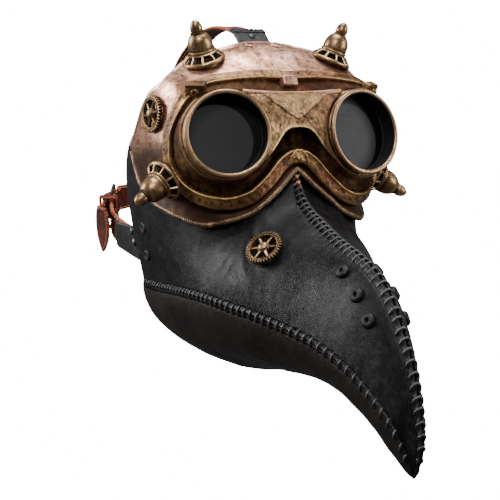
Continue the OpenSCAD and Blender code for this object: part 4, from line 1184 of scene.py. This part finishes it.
# ---------------------------------------------------------------- spikes, gears and rivets
def spike(tag, base, direction, side):
    mir = side == "left"
    key = tag + "_" + side
    stub = 5.0 if tag == "upper" else 10.0
    prof = [(0.01, -stub), (9.9, -stub), (10.3, -stub + 0.4), (10.3, -0.4), (14.2, -0.3), (15.0, 0.1),
        (15.3, 0.8), (15.3, 1.5), (15.05, 2.2),
        (14.4, 2.75), (13.5, 2.8), (13.0, 2.4), (12.6, 1.7), (11.6, 1.6), (9.6, 3.4), (8.5, 5.2), (8.2, 6.6),
        (0.01, 6.8)]
    V, F = lathe_geo(prof, 80)
    # Painted shade under the flange and inside its cone between the struts.
    dk = np.repeat([0.2, 0.2, 0.2, 0.4, 0.1, 0, 0, 0, 0, 0, 0.1, 0.6, 1, 1, 1, 1, 1, 1], 80)
    wr = np.repeat([0, 0, 0, 0, 0, 0, 0.2, 0.4, 0.6, 0.5, 0.3, 0, 0, 0, 0, 0, 0, 0], 80)
    parts, W, D = [(V, F)], [wr], [dk]
    top = [(8.8, 6.0), (10.1, 6.0), (10.6, 6.4), (10.6, 7.0), (10.1, 7.4), (9.0, 7.4), (8.8, 6.0)]
    V, F = lathe_geo(top, 80)
    parts.append((V, F))
    W.append(np.repeat([0, 0.1, 0.5, 0.6, 0.5, 0.1, 0], 80))
    # Painted shade on the inner edge of the top ring, where it meets the spike.
    D.append(np.repeat([0.5, 0.2, 0, 0, 0, 0.3, 0.5], 80))
    for i in range(10):
        a = 2 * math.pi * (i + 0.5) / 10
        c, s = math.cos(a), math.sin(a)
        r = np.array([14.2, 13.3, 12.2, 11.1, 10.1, 9.7])
        h = np.array([1.9, 3.2, 4.3, 5.3, 6.2, 6.9])
        P = np.stack([r * c, r * s, h], -1)
        V, F = tube_geo(P, np.tile([c, s, 0.9], (6, 1)), 0.85, 8)
        parts.append((V, F))
        W.append(np.full(len(V), 0.75))
        D.append(np.zeros(len(V)))
    V, F = join(parts)
    V = place(V, base, direction)
    V = V * MIR if mir else V
    add("flange_" + key, V, F, M_BRASS, "mask", np.concatenate(W), np.concatenate(D), 45)
    prof = [(0.01, 7.3), (8.7, 7.3), (9.3, 7.7), (9.5, 8.5), (9.2, 9.2), (8.8, 9.6), (8.9, 10.3), (9.0, 11.6),
        (8.8, 13.6), (8.4, 15.6),
        (7.7, 17.4), (6.8, 18.9), (5.9, 19.9), (5.2, 20.5), (5.0, 20.95), (0.01, 21.0)]
    w = [0, 0, 0.3, 0.5, 0.2, 0, 0, 0.2, 0.25, 0.2, 0.2, 0.3, 0.3, 0.1, 0, 0]
    # Painted shade in the groove and where the spike meets the flange and the point.
    d = [0, 0.5, 0.2, 0, 0.3, 0.9, 0.3, 0, 0, 0, 0, 0, 0, 0.3, 0.9, 0.9]
    lathe_at("spike_" + key, prof, base, direction, M_BRASS, mirror=mir, wear=w, dark=d,
        sharp=55, steps=72)
    prof = [(0.01, 21.0), (4.5, 21.02), (4.8, 21.4), (4.7, 21.9), (4.0, 22.3), (4.2, 22.8), (4.5, 23.6),
        (4.45, 24.8), (4.1, 26.4), (3.5, 27.9),
        (2.7, 29.1), (1.7, 30.0), (0.8, 30.4), (0.01, 30.5)]
    w = [0, 0.2, 0.3, 0, 0, 0.3, 0.3, 0.2, 0.2, 0.2, 0.25, 0.4, 0.5, 0.6]
    # Painted shade at the foot of the point and in its groove.
    d = [0.9, 0.6, 0.2, 0.95, 0.6, 0.1, 0, 0, 0, 0, 0, 0, 0, 0]
    lathe_at("point_" + key, prof, base, direction, M_BRASS, mirror=mir, wear=w, dark=d,
        sharp=55, steps=64)


for side in ("right", "left"):
    spike("upper", UP_BASE, UP_DIR, side)
    spike("lower", LOW_BASE, LOW_DIR, side)


def gear_geo(teeth=36, r_out=13.2, r_in=9.5, t=3.2):
    k = teeth * 8
    a = 2 * math.pi * np.arange(k) / k
    ph = (np.arange(k) % 8) / 8.0
    tooth = np.clip(1.6 * (1 - np.abs(ph - 0.5) * 4) + 0.4, 0, 1)
    rt = r_out - 1.25 + 1.25 * tooth
    prof = [(r_in, 0.0, 0), (None, 0.0, -0.3), (None, 0.4, 0), (None, t - 0.6, 0), (None, t - 0.1, -0.5),
        (12.0 - 0.6, t, 0), (11.2, t - 0.35, 0),
        (10.6, t - 0.35, 0), (10.2, t, 0), (r_in + 0.3, t - 0.05, 0), (r_in, t - 0.5, 0)]
    rows, dk, wr = [], [], []
    for r, z, o in prof:
        rad = rt + o if r is None else np.full(k, r)
        rows.append(np.stack([rad * np.cos(a), rad * np.sin(a), np.full(k, z)], -1))
        # Painted shade in the tooth valleys and the groove ring.
        dk.append((1 - tooth) * 0.9 if r is None else np.full(k, 0.55 if 10.5 < r < 11.3 else 0.0))
        wr.append(tooth * (0.7 if z > t - 1 else 0.2) if r is None else np.full(k, 0.5 if z >= t else 0.0))
    R = np.array(rows)
    F = ring_faces(len(prof), k, True)[:, [0, 3, 2, 1]].tolist()
    parts, W, D = [(R.reshape(-1, 3), F)], [np.array(wr).ravel()], [np.array(dk).ravel()]
    for q in range(6):
        b = math.pi / 3 * q + 0.2
        rr = np.linspace(3.0, r_in + 0.5, 9)
        P = np.stack([rr * math.cos(b), rr * math.sin(b), np.full(9, t * 0.5)], -1)
        V, F = tube_geo(P, np.tile([0, 0, 1.0], (9, 1)), np.linspace(1.35, 0.95, 9), 8, squash=1.15)
        parts.append((V, F))
        W.append(smooth01((V[:, 2] - t * 0.7) / 1.0) * 0.7)
        # Painted shade under the spokes.
        D.append(smooth01((t * 0.5 - V[:, 2]) / 1.0) * 0.7)
    V, F = lathe_geo([(1.6, 0.1), (4.0, 0.1), (4.3, 0.6), (4.3, t - 0.7), (3.9, t - 0.1), (3.5, t), (1.6, t)],
        40)
    parts.append((V, F))
    W.append(np.zeros(len(V)) + 0.3)
    D.append(np.zeros(len(V)))
    V, F = join(parts)
    return V, F, np.concatenate(W), np.concatenate(D)


def gears():
    V0, F, w, d = gear_geo()
    for tag, p, n in (("temple", T_P, T_N), ("cheek", C_P, C_N)):
        for side in ("right", "left") if tag == "temple" else ("right",):
            V = place(V0, p, n)
            V = V if side == "right" else V * MIR
            # The gear is also darkened all over apart from its lighter tooth and spoke tops, which dulls its
            # gloss there as well.
            add(tag + "_gear_" + side, V, F, M_BRASS, "mask", w * 0.8,
                np.maximum(d, 0.45 * (w < 0.4)), 40)
    pin = [(1.5, -3), (1.5, 3.0), (3.3, 3.3), (3.4, 3.7), (3.0, 4.4), (2.2, 4.9), (1.2, 5.15), (0.01, 5.2)]
    parts = []
    for p, n in ((T_P, T_N), (C_P, C_N)):
        V, Fp = lathe_geo(pin, 40)
        V = place(V, p, n)
        parts += [(V, Fp), (V * MIR, Fp)] if p is T_P else [(V, Fp)]
    V, F = join(parts)
    ob = add("gear_pins", V, F, M_BRASS, "mask", wear=np.full(len(V), 0.35), sharp=50)
    weld(ob)


gears()


def rivets(name, spots, r, mat, shank, kind="dimple"):
    shape = {"dimple": [(0.01, 0.20), (0.18, 0.22), (0.27, 0.38), (0.40, 0.50), (0.62, 0.50), (0.86, 0.34),
        (1.0, 0.12), (1.0, -0.06), (0.4, -0.06)],
        "dome": [(0.01, 0.46), (0.25, 0.44), (0.5, 0.38), (0.75, 0.27), (0.93, 0.14), (1.0, 0.02),
        (1.0, -0.04), (0.4, -0.04)],
        "flat": [(0.01, 0.24), (0.5, 0.26), (0.72, 0.34), (0.86, 0.32), (0.98, 0.18), (1.0, 0.02),
        (1.0, -0.04), (0.4, -0.04)]}[kind]
    prof = [(a * r, b * r + 0.1) for a, b in shape] + [(0.36 * r, -shank), (0.01, -shank)]
    # Painted shade in the dimple and round the foot of each rivet.
    dk = [0.7, 0.7, 0.3, 0, 0, 0, 0.4, 0.8, 0.8, 0, 0] if kind != "dome" else [0, 0, 0, 0, 0.2, 0.6, 0.8, 0.8,
        0, 0]
    wr = [0, 0, 0.3, 0.55, 0.5, 0.3, 0, 0, 0, 0, 0] if kind != "dome" else [0.4, 0.4, 0.3, 0.2, 0, 0, 0, 0, 0,
        0]
    dk, wr = (dk + [0] * 20)[:len(prof)], (wr + [0] * 20)[:len(prof)]
    parts = []
    for p, n in spots:
        V, F = lathe_geo(prof, 44)
        parts.append((place(V, p, n), F))
    V, F = join(parts)
    ob = add(name, V, F, mat, "mask", np.tile(np.repeat(wr, 44), len(spots)), np.tile(np.repeat(dk, 44),
        len(spots)), 50)
    weld(ob)


def mirrored(spots):
    return spots + [(p * MIR, n * MIR) for p, n in spots]


def on_panel(s, v):
    return panel(s, v), panel_n(np.array(s), np.array(v))


rivets("beak_rivets", mirrored([on_panel(*q) for q in ((0.571, 0.303), (0.625, 0.408), (0.672, 0.496))]), 5.0,
    M_LEATHER, 2.2)
rivets("tab_rivets", mirrored([on_panel(*q) for q in ((0.045, 0.60), (0.045, 0.79))]), 4.0, M_TAB,
    5, "flat")
cap = head(-9.6, 60.0, visor_out(9.6, 60.0))
rivets("cap_rivets", mirrored([(cap, head_n(np.array(-9.6), np.array(60.0)))]), 4.2, M_TRIM,
    5.4, "flat")
spots = [(np.array([sx * x, y, z]), unit([sx, -0.08, 0.0])) for sx in (-1, 1) for x, y,
    z in ((74.3, 8.0, -75.6), (74.0, 4.5, -83.4))]
rivets("strap_rivets", spots + [(np.array([0, -42, 67.1]), unit([0, -0.62, 0.78]))]
    + [(np.array([0, 105.5, z]), np.array([0, 1.0, 0])) for z in (-49.0, -58.0)],
    2.9, M_BLACKM, 4.8, "dome")


# ---------------------------------------------------------------- straps
def ribbon(P, W, w, t, seg=30, edge=0.45):
    """Rounded flat strap; returns the mesh and how close each point is to an edge."""
    P = np.asarray(P, float)
    T = unit(np.gradient(P, axis=0))
    W = np.broadcast_to(np.asarray(W, float), P.shape)
    W = unit(W - (W * T).sum(-1, keepdims=True) * T)
    N = np.cross(T, W)
    u = np.linspace(-1, 1, seg)
    uu = np.sign(u) * (1 - (1 - np.abs(u)) ** 1.6)
    wm = float(np.mean(w))
    top = t / 2 * np.sqrt(np.clip(1 - np.maximum(np.abs(uu) * wm / 2 - (wm / 2 - t * edge), 0) ** 2
        / (t * edge) ** 2, 0.05, 1))
    loop_u = np.concatenate([uu, uu[::-1][1:-1]])
    loop_h = np.concatenate([top, -top[::-1][1:-1]])
    w = np.broadcast_to(np.asarray(w, float), (len(P),))
    R = P[:, None] + (w[:, None] / 2 * loop_u)[..., None] * W[:, None] + loop_h[None, :, None] * N[:, None]
    k = len(loop_u)
    n = len(P)
    F = capped(n, k)
    e = np.broadcast_to(smooth01((np.abs(loop_u) - 0.86) / 0.12)[None], (n, k))
    return R, F, e, W, N


def strap_stitches(P, W, N, w, t, inset=2.0, step=4.2, r=0.42):
    L = along(P)
    parts = []
    for side in (-1, 1):
        for face in (-1, 1):
            c = step
            while c < L[-1] - step:
                q = np.linspace(c - 1.35, c + 1.35, 6)
                Q = np.stack([np.interp(q, L, P[:, i]) for i in range(3)], -1)
                Wq = np.stack([np.interp(q, L, W[:, i]) for i in range(3)], -1)
                Nq = np.stack([np.interp(q, L, N[:, i]) for i in range(3)], -1)
                h = t / 2 + 0.12 - 0.5 * np.array([1, 0.2, 0, 0, 0.2, 1])
                parts.append(tube_geo(Q + side * (w / 2 - inset) * Wq + face * h[:, None] * Nq, Nq, r, 6))
                c += step
    return join(parts)


def path_of(T, n):
    return cr(np.asarray(T, float), np.linspace(0, 1, n))


def stitching(name, body, V, F):
    return add(name + "_stitching", V, F, M_STITCH, body, nodes=())


def strap_piece(name, P, W, w, t, seed):
    R, F, e, Wv, N = ribbon(P, W, w, t)
    R = R + N[:, None] * (0.12 * fbm(R, 12, seed))[..., None]
    add(name, R.reshape(-1, 3), F, M_STRAP, "mask", e * 0.9, None, 60)
    stitching(name, "mask", *strap_stitches(P, Wv, N, w, t))["part_of"] = name


M_STITCH = leather_mat("strap_thread", (0.30, 0.10, 0.04), (0.46, 0.20, 0.09), (0.62, 0.34, 0.18), (0.5, 0.7),
    0.4, False)

BK_O = cr(SIDE, 0.5)
BK_T = unit(cr(SIDE, 0.52) - cr(SIDE, 0.48))
_az = math.atan2(BK_T[1], BK_T[0])
BK_N = np.array([-math.sin(_az), math.cos(_az), 0])
BK_W = np.cross(BK_T, BK_N)


def loc(x, y, z=0.0):
    x, y, z = (np.asarray(a, float)[..., None] for a in (x, y, z))
    return BK_O + x * BK_T + y * BK_N + z * BK_W


def straps():
    tab = [(-70, -26, -85), (-71, -12, -84.6), (-72.4, 3, -84), (-73.9, 19, -82), (-75.4, 34.5, -80)]
    P = path_of(tab, 60)
    w = np.linspace(30, 19, 60) - 2.5 * smooth01((np.arange(60) - 54) / 5)
    for side, m in (("right", 1.0), ("left", MIR)):
        R, F, e, Wv, N = ribbon(P, [-0.1, 0, 1], w, 2.4)
        dip = np.minimum(np.hypot(R[..., 1] - 8, R[..., 2] + 75.6), np.hypot(R[..., 1] - 4.5, R[..., 2]
            + 83.4))
        R[..., 0] += 0.35 * np.exp(-((dip - 3.2) / 1.0) ** 2)
        add("side_tab_" + side, R.reshape(-1, 3) * m, F, M_TAB, "mask", e * 0.6, None, 60)
    top = [(0, -62, 57), (0, -56, 59.3), (0, -50, 61.2), (0, -45, 63.2), (0, -41.5, 66.2), (0, -38, 68.6),
        (0, -33, 70.6)]
    P = path_of(top, 90)
    R, F, e, Wv, N = ribbon(P, [1, 0, 0], 26, 2.2)
    parts, W = [(R.reshape(-1, 3), F)], [e.ravel() * 0.6]
    for y, z in ((-37.5, 70.1), (-33.8, 71.5)):
        x = np.linspace(-13, 13, 60)
        Q = np.stack([x, y + 0.25 * np.sin(x * 0.9), z + 0.15 * np.cos(x * 1.7)], -1)
        V, F2 = tube_geo(Q, np.tile([0, -0.4, 0.9], (60, 1)), 1.2 + 0.1 * np.sin(x * 2.2), 12)
        parts.append((V, F2))
        W.append(0.5 * smooth01((V[:, 2] - z) / 0.9))
    V, F = join(parts)
    add("top_tab", V, F, M_TAB, "mask", np.concatenate(W), None, 60)
    line = [(0, -40.2, 64.1), (0, -36.8, 66.4), (0, -32, 68.4), (0, -22, 71.2), (0, -5, 74), (0, 14, 74),
        (0, 34, 70.5),
        (0, 54, 62), (0, 78, 46), (0, 94, 22), (0, 101, -8), (0, 104.4, -35), (0, 104.4, -62)]
    strap_piece("top_strap", path_of(line, 240), [1, 0, 0], 18, STRAP_T, 2)
    P = cr(SIDE, np.linspace(0, 0.482, 120))
    k = np.linspace(0, 1, 120)[:, None]
    R, F, e, Wv, N = ribbon(P, np.array([0, 0, 1.0]) * (1 - k) + BK_W * k, STRAP_W, STRAP_T)
    parts = [(R.reshape(-1, 3), F)]
    W = [e.ravel() * 0.9]
    a = np.radians(np.linspace(150, -150, 40))
    for z0, z1 in ((-10, -2.3), (2.3, 10)):
        Q = loc(2.6 * np.cos(a), 2.6 * np.sin(a), np.full(40, (z0 + z1) / 2))
        R2, F2, e2, _, _ = ribbon(Q, BK_W, z1 - z0, 1.9, 14)
        parts.append((R2.reshape(-1, 3), F2))
        W.append(e2.ravel() * 0.8)
    V, F = join(parts)
    add("chape_strap", V, F, M_STRAP, "mask", np.concatenate(W), None, 60)
    stitching("chape_strap", "mask", *strap_stitches(P, Wv, N, STRAP_W, STRAP_T))
    billet = np.array([(-20.5, 6), (-17, 5), (-12, 4.7), (-5, 5.3), (1.5, 5.4), (4.5, 3.8), (8, 1.1),
        (11.5, -1.7), (15, -3.1), (19, -2.4)])
    q = cr(billet, np.linspace(0, 1, 110))
    P1 = loc(q[:, 0], q[:, 1])
    P2 = cr(SIDE, np.linspace(0.69, 1, 60))
    P3 = cr(SIDE, np.linspace(1, 0, 200))[1:] * MIR
    P = np.concatenate([P1, P2, P3])
    k = np.clip(np.arange(60) / 30, 0, 1)[:, None]
    W = np.concatenate([np.tile(BK_W, (110, 1)), BK_W * (1 - k) + np.array([0, 0, 1.0]) * k,
        np.tile([0, 0, 1.0], (199, 1))])
    for _ in range(6):
        P[100:140] = (P[99:139] + P[100:140] * 2 + P[101:141]) / 4
    strap_piece("back_strap", P, W, STRAP_W, STRAP_T, 5)


straps()


def tail():
    n, k = 120, 26
    zz = np.linspace(0, -35.5, n)
    hw = np.interp(-zz, [0, 3, 8, 14, 20, 24, 29, 32, 34.4, 35.5], [5, 7, 7.8, 8, 7.4, 6.5, 4.6, 3.1, 1.4,
        0.25])
    hw = hw * (1 + 0.035 * np.sin(zz * 3.1))
    u = np.linspace(-1, 1, k)
    uu = np.sign(u) * (1 - (1 - np.abs(u)) ** 1.7)
    X = hw[:, None] * uu[None]
    h = 1.1 * np.sqrt(np.clip(1 - np.maximum(np.abs(X) - (hw[:, None] - 1.0), 0) ** 2, 0.04, 1))
    bow = 0.9 * (-zz / 35.5)[:, None] ** 2 + 0 * X
    c45 = math.sqrt(0.5)

    def turned(x, y, z):
        return loc(-26.3 + c45 * (x - y), 4.2 + c45 * (x + y), 9 + z)
    O = turned(X, bow + h, zz[:, None] + 0 * X)
    I = turned(X, bow - h, zz[:, None] + 0 * X)
    G, F = sheet_geo(O, I)
    e = smooth01((np.abs(uu)[None] * hw[:, None] - (hw[:, None] - 1.3)) / 1.0)
    x = np.linspace(-5, 5, 24)
    V2, F2 = tube_geo(turned(x, np.zeros(24), np.zeros(24)), np.tile(BK_W, (24, 1)),
        1.7 - 0.3 * np.abs(x / 5) ** 8, 20)
    V, F = join([(G, F), (V2, F2)])
    w = np.concatenate([np.stack([e, e]).ravel() * 0.9, np.full(len(V2), 0.25)])
    add("strap_tail", V, F, M_STRAP, "tail", w, None, 60)
    parts = []
    for side in (-1, 1):
        for i in range(6, n - 12, 9):
            j = slice(i - 3, i + 4)
            x = side * (hw[j] - 1.7)
            P = turned(x, bow[j, 0] + 1.2 - 0.4 * np.array([1, 0.3, 0, 0, 0, 0.3, 1]), zz[j])
            parts.append(tube_geo(P, np.tile(c45 * (BK_N - BK_T), (7, 1)), 0.4, 6))
    stitching("strap_tail", "tail", *join(parts))


tail()


def round_rect(x0, x1, z, r, corner_n, n):
    """n points round a rectangle from x0 to x1 and -z to z, with corners of radius r."""
    pts = []
    for cx, cz, a0 in ((x1 - r, z - r, 0), (x0 + r, z - r, 90), (x0 + r, -z + r, 180), (x1 - r, -z + r, 270)):
        pts += arc_pts(cx, cz, r, a0, a0 + 90, corner_n)
    return crc(np.array(pts), np.arange(n) / n)


def buckle():
    q = round_rect(0, 15.0, 12.6, 2.2, 12, 260)
    P = loc(q[:, 0], np.zeros(260), q[:, 1])
    V, F = tube_geo(P, np.tile(BK_N, (260, 1)), 1.25, 14, wrap=True)
    add("buckle_frame", V, F, M_BLACKM, "buckle", wear=0.3 * smooth01((V @ BK_N - BK_O @ BK_N)
        / 1.2))
    a = np.radians(np.linspace(190, -150, 44))
    ring = [(1.85 * math.cos(x), 1.85 * math.sin(x)) for x in a]
    t = math.radians(9.9)
    s = np.linspace(1.8, 17, 30)
    shaft = loc(s * math.cos(t), s * math.sin(t), 0 * s)
    ring = loc(*np.array(ring).T)
    V1, F1 = tube_geo(ring, np.tile(BK_W, (44, 1)), 0.45, 10, squash=2.4)
    V2, F2 = tube_geo(shaft, np.tile(BK_W, (30, 1)), np.interp(s, [1.8, 3.2, 13, 16, 17],
        [0.5, 0.95, 0.95, 0.8, 0.35]), 12)
    V, F = join([(V1, F1), (V2, F2)])
    add("buckle_prong", V, F, M_BLACKM, "prong")
    n = 200
    q = round_rect(1.1 - 6.5, 1.1 + 6.5, 12.3, 1.6, 8, n)
    P = loc(np.full(n, -10.5), q[:, 0], q[:, 1])
    T = unit(np.roll(P, -1, 0) - np.roll(P, 1, 0))
    Nn = np.cross(T, np.tile(BK_T, (n, 1)))
    prof = closed_profile([(-3, -0.45), (-3, 0.45), (-2.5, 0.7), (0, 0.75), (2.5, 0.7), (3, 0.45), (3, -0.45),
        (2.5, -0.7), (0, -0.75), (-2.5, -0.7)], 24)
    R = P[:, None] + prof[None, :, 0:1] * BK_T + prof[None, :, 1:2] * Nn[:, None]
    k = len(prof)
    F = ring_faces(n, k, True)
    w = np.broadcast_to(smooth01((np.abs(prof[:, 0]) - 2.3) / 0.6)[None], (n, k)) * 0.9
    add("strap_keeper", R.reshape(-1, 3), F, M_STRAP, "keeper", w)


buckle()


# ---------------------------------------------------------------- floor, light and camera
def stage_set():
    prof = [(-6.0, -0.262), (1.2, -0.262)]
    prof += [(1.2 + 1.6 * math.sin(a), 1.338 - 1.6 * math.cos(a)) for a in np.radians(np.linspace(4, 90, 24))]
    prof += [(2.8, 4.0)]
    V = [(x, y, z) for y, z in prof for x in (-6, 6)]
    F = [(2 * i, 2 * i + 1, 2 * i + 3, 2 * i + 2) for i in range(len(prof) - 1)]
    me = bpy.data.meshes.new("floor")
    me.from_pydata(V, [], F)
    me.polygons.foreach_set("use_smooth", [True] * len(F))
    m = Mat("floor_white")
    n = m.noise(3, 2)
    m.b.inputs["Emission Color"].default_value = (1, 1, 1, 1)
    m.b.inputs["Emission Strength"].default_value = FLOOR_GLOW
    me.materials.append(m.set(color=m.mix(n, (0.90, 0.90, 0.90), (0.92, 0.92, 0.92)), rough=0.9, spec=0.1))
    ob = bpy.data.objects.new("floor", me)
    bpy.context.scene.collection.objects.link(ob)
    yaw = Matrix.Rotation(math.radians(-26), 4, "Z")
    ob.matrix_world = yaw
    ob.visible_diffuse = False
    ob.visible_glossy = False


stage_set()


def lamp(name, loc_m, target, size, power):
    li = bpy.data.lights.new(name, "AREA")
    li.shape = "RECTANGLE"
    li.size, li.size_y = size
    li.energy = power
    ob = bpy.data.objects.new(name, li)
    ob.location = loc_m
    ob.rotation_euler = (Vector(target) - Vector(loc_m)).to_track_quat("-Z", "Y").to_euler()
    bpy.context.scene.collection.objects.link(ob)


lamp("key", (-1.0, -1.6, 1.5), (0, -0.1, -0.03), (0.65, 0.65), 56)
lamp("fill", (1.5, -1.2, 0.4), (0, -0.1, -0.05), (0.8, 1.0), 32)
lamp("top", (0.15, -0.1, 1.7), (0, -0.1, 0), (1.0, 1.0), 64)
lamp("rim", (-1.3, 0.8, 0.5), (0, -0.1, -0.05), (0.6, 0.9), 48)
world = bpy.data.worlds.new("studio")
bpy.context.scene.world = world
world.use_nodes = True
world.node_tree.nodes["Background"].inputs[0].default_value = (1, 1, 1, 1)
world.node_tree.nodes["Background"].inputs[1].default_value = WORLD_GLOW

cam_data = bpy.data.cameras.new("camera")
cam_data.lens = 115.4
cam_data.sensor_width = 36
cam_data.dof.use_dof = False
cam_data.clip_start, cam_data.clip_end = 0.05, 30
cam = bpy.data.objects.new("camera", cam_data)
cam.location = (-0.5135, -1.0921, 0.0344)
cam.rotation_mode = "QUATERNION"
cam.rotation_quaternion = Vector((0.436, 0.8939, -0.1045)).to_track_quat("-Z", "Y")
bpy.context.scene.collection.objects.link(cam)
bpy.context.scene.camera = cam
